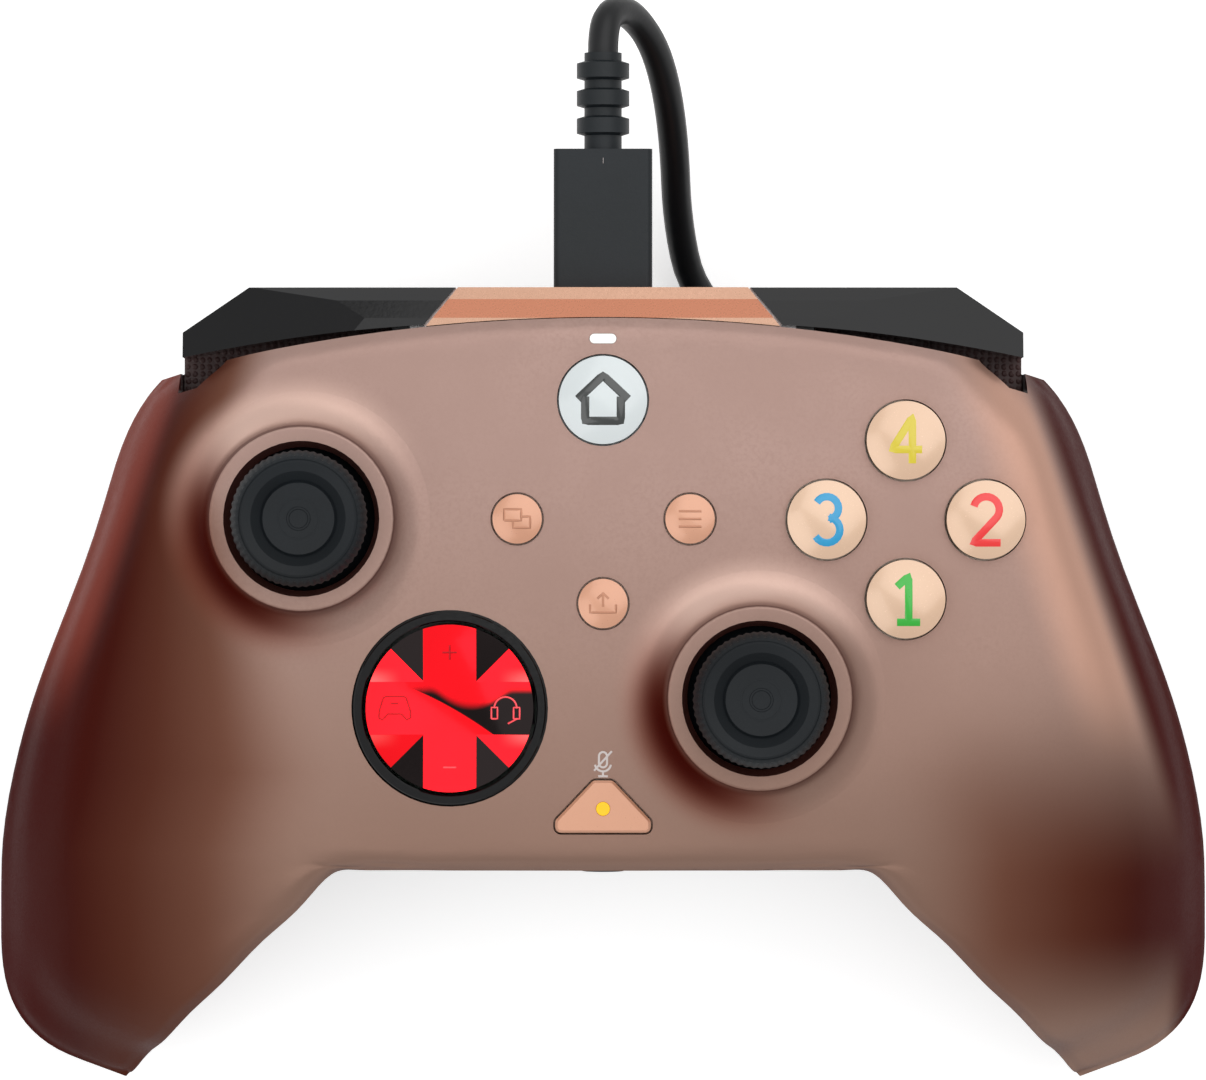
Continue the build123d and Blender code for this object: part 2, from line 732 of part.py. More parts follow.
def collar_foot_edges(solid):
    """The edges where the two collars meet the face."""
    reach = COLLAR_TOP_R + COLLAR_DRAFT + LINE_GAP
    found = []
    for edge in solid.edges():
        around = edge.bounding_box()
        for x, y in stick_places():
            near = abs(around.min.X - x) < reach and abs(around.max.X - x) < reach
            near = near and abs(around.min.Y - y) < reach and abs(around.max.Y - y) < reach
            if near and around.min.Z > FACE_Z - 2 * WALL and around.max.Z < COLLAR_TOP_Z - WALL:
                found.append(edge)
    return found


def collar_lip_edges(solid):
    """The outer edges of the collars' flat tops."""
    return [
        edge
        for edge in solid.edges()
        if edge.geom_type == GeomType.CIRCLE and edge.bounding_box().min.Z > COLLAR_TOP_Z - SEAT_GAP
    ]


def top_opening(z0, z1):
    """The space in the far wall that the bumpers and the bridge close."""
    y0 = top_edge_y(OPENING_HALF) - OVERRUN
    inset = WALL + LINE_GAP
    return box(-OPENING_HALF, OPENING_HALF, y0, HALF_DEPTH + OVERRUN, z0, z1) - top_disc(z0 - OVERRUN, z1 + OVERRUN, inset)


def function_outline(gap):
    """Rounded triangle of the function button, grown by a gap."""
    x, y = FUNCTION_CENTRE
    low = (x, y + FUNCTION_LOW)
    points = (
        (x - FUNCTION_HALF_WIDTH, low[1]),
        (x + FUNCTION_HALF_WIDTH, low[1]),
        (x + FUNCTION_HALF_WIDTH, low[1] + FUNCTION_CORNER_R),
        (x + FUNCTION_TOP_HALF, y + FUNCTION_HIGH),
        (x - FUNCTION_TOP_HALF, y + FUNCTION_HIGH),
        (x - FUNCTION_HALF_WIDTH, low[1] + FUNCTION_CORNER_R),
    )
    outline = make_face(Polyline(*points, close=True))
    corners = outline.vertices()
    outline = fillet(corners, FUNCTION_CORNER_R / 2)
    return offset(outline, gap) if gap else outline


def face_holes():
    """All the holes for the buttons, the pad and the lens."""
    low = FACE_Z - WALL - OVERRUN
    high = FACE_Z + OVERRUN
    holes = [rod(x, y, low, high, FACE_BUTTON_R + BUTTON_GAP) for x, y in FACE_BUTTONS.values()]
    holes += [rod(x, y, low, high, SMALL_BUTTON_R + BUTTON_GAP) for x, y in SMALL_BUTTONS.values()]
    holes.append(rod(*HOME_CENTRE, low, high, HOME_R + BUTTON_GAP))
    holes.append(rod(*PAD_CENTRE, low, high, PAD_HOLE_R))
    holes.append(extrude(Pos(0, 0, low) * function_outline(BUTTON_GAP), high - low, dir=(0, 0, 1)))
    half = STATUS_LENS_HALF + SEAT_GAP
    width = STATUS_LENS_WIDTH + 2 * SEAT_GAP
    slot = Pos(0, STATUS_LENS_Y, low) * SlotOverall(2 * half, width)
    holes.append(extrude(slot, high - low, dir=(0, 0, 1)))
    return holes


def screw_bosses():
    """Bosses that hang from the face and take the case screws."""
    lowered = Pos(0, 0, -WALL / 2) * front_solid(0)
    bosses = []
    for x, y in CASE_SCREWS:
        low = seam_height(y) + SEAT_GAP
        bosses.append(rod(x, y, low, FACE_Z, BOSS_R) & lowered)
    return bosses


def faceplate():
    """The upper shell, with its collars, holes and screw bosses."""
    outer = front_solid(0) - seam_block(False)
    for x, y in stick_places():
        outer = outer + collar(x, y)
    outer = outer.fillet(COLLAR_FOOT_R, collar_foot_edges(outer))
    outer = outer.fillet(LINE_GAP, collar_lip_edges(outer))
    shell = outer - front_solid(WALL)
    for boss in screw_bosses():
        shell = shell + boss
    for x, y in stick_places():
        shell = shell - collar_hole(x, y)
    for hole in face_holes():
        shell = shell - hole
    for x, y in CASE_SCREWS:
        low = seam_height(y)
        shell = shell - rod(x, y, low - WALL, low + SCREW_LENGTH, SCREW_SHANK_R + RUN_GAP)
    shell = shell - top_opening(SEAM_Z - OVERRUN, LIP_Z)
    jack_z = BOARD_TOP_Z - BOARD_THICK - JACK_HEIGHT / 2 - SEAT_GAP
    shell = shell - rod_y(0, CROTCH_Y - OVERRUN, CROTCH_Y + WALL + OVERRUN / 2, jack_z, JACK_BARREL_R + SEAT_GAP)
    return shell


def trigger_pocket_walls(outer):
    """Walls round a trigger's pocket, a roof over it and two lugs for its pin, on the right-hand side."""
    x0 = TRIGGER_INNER_X - POCKET_GAP - POCKET_WALL
    x1 = TRIGGER_OUTER_X + POCKET_GAP + POCKET_WALL
    y0 = POCKET_BACK_Y - POCKET_WALL
    roof_top = POCKET_ROOF_Z + POCKET_ROOF_THICK
    lean = x1 - POCKET_LEAN
    walls = prism(((x0, y0), (x1, y0), (lean, HALF_DEPTH), (x0, HALF_DEPTH)), -OVERRUN, SEAM_Z) & outer
    upper = box(x0, POCKET_ROOF_OUTER_X, y0, HALF_DEPTH, SEAM_Z - WALL, roof_top)
    upper = upper & top_disc(SEAM_Z - OVERRUN, roof_top + OVERRUN, MOVE_GAP)
    return walls + upper


def roof_ledge():
    """Ledge along the far edge that closes the view down beside a bumper, on the right-hand side."""
    low, high = POCKET_ROOF_Z, POCKET_ROOF_Z + POCKET_ROOF_THICK
    inner_x = TRIGGER_INNER_X - POCKET_GAP
    far = top_disc(low, high, -ROOF_LEDGE_REACH)
    past_frame = far - top_disc(low - WALL, high + WALL, -2 * SEAT_GAP)
    past_wall = far - top_disc(low - WALL, high + WALL, WALL - SEAT_GAP)
    over_frame = box(ROOF_LEDGE_INNER_X, inner_x, 0, HALF_DEPTH, low, high) & past_frame
    over_pocket = box(inner_x - SEAT_GAP, ROOF_LEDGE_OUTER_X, 0, HALF_DEPTH, low, high) & past_wall
    return over_frame + over_pocket


def trigger_pocket_space():
    """The space that a trigger and its travel take, on the right-hand side."""
    x0 = TRIGGER_INNER_X - POCKET_GAP
    x1 = TRIGGER_OUTER_X + POCKET_GAP
    return box(x0, x1, POCKET_BACK_Y, HALF_DEPTH + OVERRUN, -OVERRUN, POCKET_ROOF_Z)


def trigger_lugs():
    """Two lugs that carry a trigger's pin, on the right-hand side."""
    lugs = []
    for x in (LUG_X, LUG_FAR_X):
        low, high = TRIGGER_PIVOT_Z - LUG_R, TRIGGER_PIVOT_Z + LUG_R
        lug = box(x, x + LUG_THICK, POCKET_BACK_Y - POCKET_WALL / 2, TRIGGER_PIVOT_Y, low, high)
        lug = lug + rod_x(x, x + LUG_THICK, TRIGGER_PIVOT_Y, TRIGGER_PIVOT_Z, LUG_R)
        bore = rod_x(x - WALL, x + LUG_THICK + WALL, TRIGGER_PIVOT_Y, TRIGGER_PIVOT_Z, TRIGGER_PIN_R + RUN_GAP)
        lugs.append(lug - bore)
    return lugs


def motor_cradles(outer):
    """Two ribs under a motor, on the right-hand side."""
    y0, y1 = MOTOR_Y - CRADLE_HALF, MOTOR_Y + CRADLE_HALF
    ribs = []
    for x in (MOTOR_INNER_X + CRADLE_THICK / 2, MOTOR_OUTER_X - 1.5 * CRADLE_THICK):
        rib = box(x, x + CRADLE_THICK, y0, y1, -OVERRUN, MOTOR_Z - MOTOR_R / 2)
        bed = rod_x(x - WALL, x + CRADLE_THICK + WALL, MOTOR_Y, MOTOR_Z, MOTOR_R + SEAT_GAP)
        ribs.append((rib & outer) - bed)
    return ribs


def rear_shell():
    """The lower shell, with trigger pockets, posts, motor cradles and the holes for the back buttons."""
    outer = rear_solid(0, 0) - seam_block(True)
    outer = outer - box(-HALF_WIDTH, HALF_WIDTH, -HALF_DEPTH, HALF_DEPTH, -OVERRUN, 0)
    shell = outer - rear_solid(WALL, WALL)
    walls = trigger_pocket_walls(outer)
    shell = shell + walls + mirrored(walls)
    space = trigger_pocket_space()
    shell = shell - space - mirrored(space)
    ledge = roof_ledge()
    shell = shell + ledge + mirrored(ledge)
    for lug in trigger_lugs():
        shell = shell + lug + mirrored(lug)
    for rib in motor_cradles(outer):
        shell = shell + rib + mirrored(rib)
    for x, y in CASE_SCREWS:
        top = seam_height(y) - SEAT_GAP
        shell = shell + (rod(x, y, -OVERRUN, top, POST_R) & outer)
        shell = shell - rod(x, y, -OVERRUN, top - SCREW_SEAT, SCREW_RECESS_R)
        shell = shell - rod(x, y, -OVERRUN, top + WALL, SCREW_BORE_R)
    for x, y in BOARD_SCREWS:
        top = BOARD_TOP_Z - BOARD_THICK - SEAT_GAP
        shell = shell + rod(x, y, BELLY_Z + WALL / 2, top, BOARD_POST_R)
        shell = shell - rod(x, y, top - BOARD_SCREW_LENGTH, top + WALL, BOARD_SCREW_R + RUN_GAP)
    hole = back_button_column(BUTTON_GAP)
    return shell - hole - mirrored(hole)


def back_button_column(gap):
    """Upright column with a back button's plan, on the right-hand side."""
    x, y = BACK_BUTTON
    slot = Pos(x, y, -OVERRUN) * Rot(0, 0, 90) * SlotOverall(BACK_BUTTON_LENGTH + 2 * gap, BACK_BUTTON_WIDTH + 2 * gap)
    return extrude(slot, BACK_BUTTON_STEM_TOP_Z + OVERRUN, dir=(0, 0, 1))


def back_button():
    """A button in the underside that stands proud of it and follows its curve."""
    proud = Pos(0, 0, -BACK_BUTTON_RISE) * rear_solid(0, 0)
    pad = back_button_column(0) & proud
    pad = pad - rear_solid(WALL, WALL)
    x, y = BACK_BUTTON
    root = belly_height(x, y) + WALL / 2
    return pad + rod(x, y, root, BACK_BUTTON_STEM_TOP_Z, BACK_BUTTON_STEM_R)


# Bridge, bumpers and frame


def band_outline(points_outer, inner_gap, swing):
    """Plan outline of a piece along the far edge: its outer points, closed by an arc beside the face."""
    x0, x1 = points_outer[0][0], points_outer[-1][0]
    span = x1 - x0

    def inner_y(x):
        return top_edge_y(x) + inner_gap + swing * (x - x0) / span

    start = (x0, inner_y(x0))
    middle = ((x0 + x1) / 2, inner_y((x0 + x1) / 2))
    end = (x1, inner_y(x1))
    outer = Polyline(start, *points_outer[1:-1], end)
    return make_face([ThreePointArc(start, middle, end), *outer.edges()])


def bumper_outline():
    """Plan outline of the right-hand bumper."""
    low_x = BUMPER_END_X + BRIDGE_SLANT
    points = (
        (low_x, TOP_EDGE_Y),
        (BUMPER_END_X, HALF_DEPTH),
        (BUMPER_SHOULDER_X, HALF_DEPTH),
        (BUMPER_OUTER_X, BUMPER_CORNER_Y),
        (BUMPER_OUTER_X, TOP_EDGE_Y),
    )
    return band_outline(points, LINE_GAP, BUMPER_SWING_GAP)


def bumper():
    """Right-hand bumper: a faceted bar with a hollow underside and an arm to its pin."""
    reach = HALF_WIDTH
    body = extrude(Pos(0, 0, BUMPER_LOW_Z) * bumper_outline(), BUMPER_TOP_Z - BUMPER_LOW_Z, dir=(0, 0, 1))
    ridge = (BUMPER_RIDGE_X, BUMPER_RIDGE_Y, BUMPER_RIDGE_Z)
    near_ridge = (0, BUMPER_RIDGE_Y, BUMPER_RIDGE_Z)
    corner = (BUMPER_OUTER_X, BUMPER_CORNER_Y, BUMPER_CORNER_Z)
    shoulder = (BUMPER_SHOULDER_X, HALF_DEPTH, BUMPER_FRONT_Z)
    inner_edge = (BUMPER_RIDGE_X, top_edge_y(BUMPER_RIDGE_X), BUMPER_TOP_Z)
    end_edge = (BUMPER_OUTER_X, top_edge_y(BUMPER_OUTER_X), BUMPER_CORNER_Z + WALL / 2)
    cuts = (
        (near_ridge, ridge, (0, top_edge_y(0), BUMPER_TOP_Z)),
        (near_ridge, ridge, (0, HALF_DEPTH, BUMPER_FRONT_Z)),
        (ridge, corner, shoulder),
        (inner_edge, end_edge, ridge),
    )
    hollow = offset(bumper_outline(), -BUMPER_WALL)
    hollow = extrude(Pos(0, 0, BUMPER_LOW_Z - WALL) * hollow, BUMPER_TOP_Z - BUMPER_LOW_Z - WALL, dir=(0, 0, 1))
    for cut in cuts:
        body = body - half_space(*cut, reach)
        hollow = hollow - Pos(0, 0, -BUMPER_WALL) * half_space(*cut, reach)
    body = body - hollow
    x, y = BUMPER_PIVOT
    low, high, half = BUMPER_ARM_LOW_Z, BUMPER_ARM_HIGH_Z, BUMPER_ARM_HALF
    far = x + BUMPER_ARM_REACH
    arm = rod(x, y, low, high, half) + box(x, far, y - half / 2, y + half / 2, low, high)
    arm = arm + box(far - half, far, y - half / 2, TOP_EDGE_Y, low, high)
    body = body + arm
    return body - rod(x, y, BUMPER_LOW_Z - OVERRUN, BUMPER_TOP_Z, BUMPER_PIN_R + RUN_GAP)


def bumper_pins():
    """Upright pins on which the bumpers swing, held in the frame above and below the arms."""
    x, y = BUMPER_PIVOT
    low = BOARD_TOP_Z + 2 * SEAT_GAP
    pin = rod(x, y, low, FRAME_TOP_Z - SEAT_GAP, BUMPER_PIN_R)
    return Compound(children=[pin, mirrored(pin)])


def top_bridge():
    """Fixed piece between the bumpers, which the cable plug passes through."""
    half = BUMPER_END_X - LINE_GAP
    points = (
        (-half - BRIDGE_SLANT, TOP_EDGE_Y),
        (-half, HALF_DEPTH),
        (half, HALF_DEPTH),
        (half + BRIDGE_SLANT, TOP_EDGE_Y),
    )
    x0, x1 = points[0][0], points[-1][0]
    gap = 2 * SEAT_GAP
    arc = ThreePointArc((x0, top_edge_y(x0) + gap), (0, TOP_EDGE_Y + gap), (x1, top_edge_y(x1) + gap))
    rest = Polyline((x0, top_edge_y(x0) + gap), points[1], points[2], (x1, top_edge_y(x1) + gap))
    outline = make_face([arc, *rest.edges()])
    body = extrude(Pos(0, 0, BRIDGE_LOW_Z) * outline, BRIDGE_TOP_Z - BRIDGE_LOW_Z, dir=(0, 0, 1))
    ledge = (0, BRIDGE_LEDGE_Y, BRIDGE_LEDGE_Z)
    along = (half, BRIDGE_LEDGE_Y, BRIDGE_LEDGE_Z)
    inner = half_space(ledge, along, (0, TOP_EDGE_Y, BRIDGE_TOP_Z), HALF_WIDTH)
    outer = half_space(ledge, along, (0, HALF_DEPTH, BRIDGE_FRONT_Z), HALF_WIDTH)
    body = body - (inner & outer)
    gap = BUTTON_GAP
    plug = rounded_bar(
        PLUG_HALF + gap, PLUG_HEIGHT / 2 + gap, TOP_EDGE_Y - OVERRUN, HALF_DEPTH + OVERRUN, 0, PLUG_Z, PLUG_EDGE_R + gap
    )
    return body - plug


def inner_frame():
    """Bar on the board, behind the bridge, with slots for the bumpers' arms and a notch for the socket."""
    low = BOARD_TOP_Z + SEAT_GAP
    body = box(-FRAME_HALF, FRAME_HALF, top_edge_y(FRAME_HALF) - FRAME_DEPTH, TOP_EDGE_Y, low, FRAME_TOP_Z)
    body = body & top_disc(low - OVERRUN, FRAME_TOP_Z + OVERRUN, SEAT_GAP)
    notch = PLUG_HALF + LINE_GAP
    body = body - box(-notch, notch, 0, HALF_DEPTH, low - WALL, PLUG_Z + PLUG_HEIGHT / 2 + LINE_GAP)
    x, y = BUMPER_PIVOT
    near, far = x - BUMPER_ARM_HALF - MOVE_GAP, FRAME_HALF + OVERRUN
    slot = box(near, far, 0, HALF_DEPTH, BUMPER_ARM_LOW_Z - LINE_GAP, BUMPER_ARM_HIGH_Z + LINE_GAP)
    hole = rod(x, y, low - WALL, FRAME_TOP_Z + WALL, BUMPER_PIN_R + RUN_GAP)
    for cut in (slot, hole):
        body = body - cut - mirrored(cut)
    lens = box(-2 * WALL, 2 * WALL, STATUS_LENS_Y - WALL, HALF_DEPTH, FRAME_TOP_Z - 2 * WALL, FRAME_TOP_Z + WALL)
    return body - lens


# Triggers


def trigger_plan(inset, z0, z1):
    """Plan of a trigger, raised to a block."""
    x0, x1 = TRIGGER_INNER_X + inset, TRIGGER_OUTER_X - inset
    front = TRIGGER_FRONT_Y - inset
    low = POCKET_BACK_Y
    points = (
        (x0, low),
        (x0, front),
        (TRIGGER_SHOULDER_X - inset / 2, front),
        (TRIGGER_CORNER_X - inset, TRIGGER_CORNER_Y),
        (x1, TRIGGER_PIVOT_Y + TRIGGER_WALL / 2),
        (x1, low),
    )
    block = prism(points, z0, z1)
    corners = [edge for edge in block.edges() if abs(edge.length - (z1 - z0)) < SEAT_GAP]
    soft = [edge for edge in corners if TRIGGER_SHOULDER_X - WALL < edge.center().X < TRIGGER_CORNER_X + LINE_GAP]
    return fillet(soft, 2 * TRIGGER_WALL)


def trigger_section(inset):
    """Side view of a trigger: front curve and back line."""
    height = TRIGGER_TOP_Z - TRIGGER_TIP_Z
    reach = TRIGGER_FRONT_Y - TRIGGER_PIVOT_Y
    front = [
        (0, TRIGGER_FRONT_Y - reach * a - inset, TRIGGER_TIP_Z + height * b)
        for a, b in zip(TRIGGER_FRONT_Y_SHARES, TRIGGER_FRONT_Z_SHARES)
    ]
    back = [
        (0, TRIGGER_FRONT_Y - reach * a, TRIGGER_TIP_Z + height * b)
        for a, b in zip(TRIGGER_BACK_Y_SHARES, TRIGGER_BACK_Z_SHARES)
    ]
    return front, back


def trigger():
    """Right-hand trigger: a curved shell with two ears on its pin."""
    x0, x1 = TRIGGER_INNER_X, TRIGGER_OUTER_X
    front, back = trigger_section(0)
    section = make_face([Spline(*front), *Polyline(front[-1], *back, front[0]).edges()])
    body = extrude(Pos(x0, 0, 0) * section, x1 - x0, dir=(1, 0, 0))
    body = body & trigger_plan(0, TRIGGER_TIP_Z - OVERRUN, TRIGGER_TOP_Z + OVERRUN)
    height = TRIGGER_TOP_Z - TRIGGER_TIP_Z
    low_z = TRIGGER_TIP_Z + height * TRIGGER_HOLLOW_Z_SHARE
    high_z = TRIGGER_TOP_Z - TRIGGER_WALL
    inner, _ = trigger_section(TRIGGER_WALL)
    back_y = POCKET_BACK_Y - OVERRUN
    curve = Spline(*inner)
    rest = Polyline(inner[-1], (0, back_y, inner[-1][2]), (0, back_y, inner[0][2]), inner[0])
    hollow = extrude(make_face([curve, *rest.edges()]), x1, dir=(1, 0, 0))
    hollow = hollow & box(0, x1, back_y, TRIGGER_FRONT_Y, low_z, high_z)
    hollow = hollow & trigger_plan(TRIGGER_WALL, low_z - WALL, high_z + WALL)
    deep = box(x0 + TRIGGER_WALL, x1 - TRIGGER_WALL, back_y, POCKET_BACK_Y + WALL, low_z, high_z)
    body = body - hollow - deep
    for x in (TRIGGER_EAR_X, TRIGGER_EAR_FAR_X):
        ear = rod_x(x, x + TRIGGER_EAR_THICK, TRIGGER_PIVOT_Y, TRIGGER_PIVOT_Z, TRIGGER_EAR_R)
        web = box(
            x,
            x + TRIGGER_EAR_THICK,
            TRIGGER_PIVOT_Y - TRIGGER_EAR_R / 2,
            TRIGGER_PIVOT_Y + TRIGGER_EAR_R,
            TRIGGER_PIVOT_Z,
            high_z + TRIGGER_WALL / 2,
        )
        body = body + ear + web
    bore = rod_x(x0 + TRIGGER_WALL, x1 - TRIGGER_WALL, TRIGGER_PIVOT_Y, TRIGGER_PIVOT_Z, TRIGGER_PIN_R + RUN_GAP)
    return body - bore


def trigger_pins():
    """A pin through the lugs and ears of each trigger."""
    x0, x1 = LUG_X - LINE_GAP, LUG_FAR_X + LUG_THICK + LINE_GAP
    pin = rod_x(x0, x1, TRIGGER_PIVOT_Y, TRIGGER_PIVOT_Z, TRIGGER_PIN_R)
    return Compound(children=[pin, mirrored(pin)])


def trigger_spring():
    """Return spring round the right-hand trigger's pin."""
    quarters = 4 * SPRING_TURNS
    length = SPRING_TURNS * SPRING_PITCH
    middle = (TRIGGER_EAR_X + TRIGGER_EAR_THICK + TRIGGER_EAR_FAR_X) / 2
    nodes = []
    for step in range(quarters + 1):
        angle = math.pi / 2 * step
        x = middle - length / 2 + length * step / quarters
        y = TRIGGER_PIVOT_Y + SPRING_COIL_R * math.cos(angle)
        z = TRIGGER_PIVOT_Z + SPRING_COIL_R * math.sin(angle)
        nodes.append(Vector(x, y, z))
    return tube_along(winding(nodes, Vector(0, 0, 1), Vector(0, 0, 1)), SPRING_WIRE_R)


# Sticks


def stick_housing(x, y):
    """Box of a stick module, open at the top and bored for the yoke's pins."""
    half, low, top = HOUSING_HALF, BOARD_TOP_Z + SEAT_GAP, BOARD_TOP_Z + HOUSING_HEIGHT
    inner = half - HOUSING_WALL
    body = box(-half, half, -half, half, low, top)
    body = body - box(-inner, inner, -inner, inner, low + HOUSING_WALL, top - HOUSING_WALL)
    body = body - rod(0, 0, top - WALL, top + WALL, HOUSING_HOLE_R)
    body = body - rod_x(-half - WALL, half + WALL, 0, STICK_PIVOT_Z, PIVOT_PIN_R + RUN_GAP)
    return Pos(x, y, 0) * body


def stick_yoke(x, y):
    """Ring that tilts on pins along X and carries the stem on pins along Y."""
    low, top = STICK_PIVOT_Z - YOKE_HEIGHT / 2, STICK_PIVOT_Z + YOKE_HEIGHT / 2
    ring = box(-YOKE_OUTER, YOKE_OUTER, -YOKE_OUTER, YOKE_OUTER, low, top)
    ring = ring & rod(0, 0, low - WALL, top + WALL, HOUSING_HOLE_R - MOVE_GAP)
    ring = ring - box(-YOKE_INNER, YOKE_INNER, -YOKE_INNER, YOKE_INNER, low - WALL, top + WALL)
    reach = HOUSING_HALF - SEAT_GAP
    pins = rod_x(-reach, reach, 0, STICK_PIVOT_Z, PIVOT_PIN_R)
    pins = pins - box(-YOKE_INNER, YOKE_INNER, -YOKE_INNER, YOKE_INNER, low, top)
    ring = ring + pins
    ring = ring - rod_y(0, -YOKE_OUTER - WALL, YOKE_OUTER + WALL, STICK_PIVOT_Z, PIVOT_PIN_R + RUN_GAP)
    return Pos(x, y, 0) * ring


def stick_stem(x, y):
    """Stem with a round hub and pins along Y."""
    reach = YOKE_OUTER - SEAT_GAP
    body = Pos(0, 0, STICK_PIVOT_Z) * Sphere(STEM_HUB_R)
    body = body + rod(0, 0, STICK_PIVOT_Z, STEM_TOP_Z, STEM_R)
    body = body + rod_y(0, -reach, reach, STICK_PIVOT_Z, PIVOT_PIN_R)
    return Pos(x, y, 0) * body


def stick_cap(x, y):
    """Cap with a ridged rim and dished top, on a neck with a dust dome."""
    top, under = STICK_CAP_TOP_Z, STICK_CAP_UNDER_Z
    socket = STEM_TOP_Z + CLICK_TRAVEL + RUN_GAP
    profile = (
        (STEM_R + RUN_GAP, STEM_SOCKET_Z),
        (STICK_NECK_R, STEM_SOCKET_Z),
        (STICK_NECK_R, under - WALL / 2),
        (STICK_NECK_R + WALL / 2, under),
        (STICK_CAP_R - STICK_CAP_EDGE / 2, under),
        (STICK_CAP_R, under + STICK_CAP_EDGE / 2),
        (STICK_CAP_R, top - 2 * STICK_CAP_EDGE),
        (STICK_CAP_R - STICK_CAP_EDGE / 2, top - STICK_CAP_EDGE / 2),
        (STICK_CAP_CREST_R, top),
        (STICK_CAP_CREST_R - STICK_CAP_EDGE, top - STICK_CAP_EDGE / 3),
        (STICK_CAP_GROOVE_R + STICK_CAP_EDGE / 4, top - STICK_CAP_DISH),
        (STICK_CAP_GROOVE_R, top - STICK_CAP_DISH - STICK_CAP_EDGE / 4),
        (STICK_CAP_GROOVE_R - STICK_CAP_EDGE / 4, top - STICK_CAP_DISH),
        (0, top - STICK_CAP_DISH - STICK_CAP_EDGE / 4),
        (0, socket),
        (STEM_R + RUN_GAP, socket),
    )
    body = turned(profile)
    angle = math.radians(DOME_RIM_ANGLE)
    rim_z = STICK_PIVOT_Z + DOME_R * math.cos(angle)
    dome = Pos(0, 0, STICK_PIVOT_Z) * (Sphere(DOME_R) - Sphere(DOME_R - DOME_WALL))
    dome = dome & box(-DOME_R, DOME_R, -DOME_R, DOME_R, rim_z, STICK_PIVOT_Z + DOME_R)
    dome = dome - rod(0, 0, STICK_PIVOT_Z, STEM_TOP_Z, STICK_NECK_R - WALL / 4)
    return Pos(x, y, 0) * (body + dome)


def stick_sensors(x, y):
    """Two potentiometers on the sides of a stick module."""
    low, high = BOARD_TOP_Z + SEAT_GAP, BOARD_TOP_Z + SENSOR_HEIGHT
    near, far = HOUSING_HALF + SEAT_GAP, HOUSING_HALF + SENSOR_DEPTH
    side = box(near, far, -SENSOR_WIDTH / 2, SENSOR_WIDTH / 2, low, high)
    front = box(-SENSOR_WIDTH / 2, SENSOR_WIDTH / 2, -far, -near, low, high)
    return Pos(x, y, 0) * Compound(children=[side, front])


# Buttons


def face_level(x, y):
    """Height of the face's inner side at a button."""
    return face_height(x, y) - WALL


def round_button(x, y, radius, rise, dome, foot_z):
    """Round button: domed cap, flange under the face and a stem down to its dome or switch."""
    top = face_height(x, y) + rise
    flange_top = face_level(x, y) - FLANGE_GAP
    flange_low = flange_top - FLANGE_THICK
    ball_r = (radius**2 + dome**2) / (2 * dome)
    middle = top + dome - ball_r + math.sqrt(ball_r**2 - (radius / 2) ** 2)
    crown = ThreePointArc((radius, 0, top), (radius / 2, 0, middle), (0, 0, top + dome))
    sides = Polyline(
        (0, 0, top + dome),
        (0, 0, foot_z),
        (radius * STEM_SHARE, 0, foot_z),
        (radius * STEM_SHARE, 0, flange_low),
        (radius + FLANGE_WIDTH, 0, flange_low),
        (radius + FLANGE_WIDTH, 0, flange_top),
        (radius, 0, flange_top),
        (radius, 0, top),
    )
    return Pos(x, y, 0) * revolve(make_face([crown, *sides.edges()]), Axis.Z)


def mat_dome_top():
    """Height of the rubber domes under the face buttons."""
    return BOARD_TOP_Z + MAT_THICK + FACE_BUTTON_TRAVEL + 2 * LINE_GAP


def button_foot(travel):
    """Where a stem ends above the rubber domes when it isn't pressed."""
    return mat_dome_top() + travel + SEAT_GAP


def function_button():
    """Rounded triangular button under the right-hand side of the face's lower edge."""
    x, y = FUNCTION_CENTRE
    top = face_height(x, y) + FUNCTION_RISE
    flange_top = face_level(x, y) - FLANGE_GAP
    flange_low = flange_top - FLANGE_THICK
    body = extrude(Pos(0, 0, flange_low) * function_outline(0), top - flange_low, dir=(0, 0, 1))
    body = chamfer(body.faces().sort_by(Axis.Z)[-1].edges(), LINE_GAP)
    flange = extrude(Pos(0, 0, flange_low) * function_outline(FLANGE_WIDTH), FLANGE_THICK, dir=(0, 0, 1))
    stem = rod(x, y, button_foot(SMALL_BUTTON_TRAVEL), flange_low + FLANGE_THICK / 2, SMALL_BUTTON_R * STEM_SHARE)
    hole = rod(x, y + FUNCTION_LENS_Y, top - WALL, top + WALL, FUNCTION_LENS_R + SEAT_GAP)
    return body + flange + stem - hole


def function_lens():
    """Round lens in the function button."""
    x, y = FUNCTION_CENTRE
    top = face_height(x, y) + FUNCTION_RISE
    return rod(x, y + FUNCTION_LENS_Y, top - WALL + SEAT_GAP, top + STATUS_LENS_RISE / 2, FUNCTION_LENS_R)


def status_lens():
    """Small bar of light above the home button."""
    low = FACE_Z - WALL - LINE_GAP
    slot = Pos(0, STATUS_LENS_Y, low) * SlotOverall(2 * STATUS_LENS_HALF, STATUS_LENS_WIDTH)
    return extrude(slot, FACE_Z + STATUS_LENS_RISE - low, dir=(0, 0, 1))


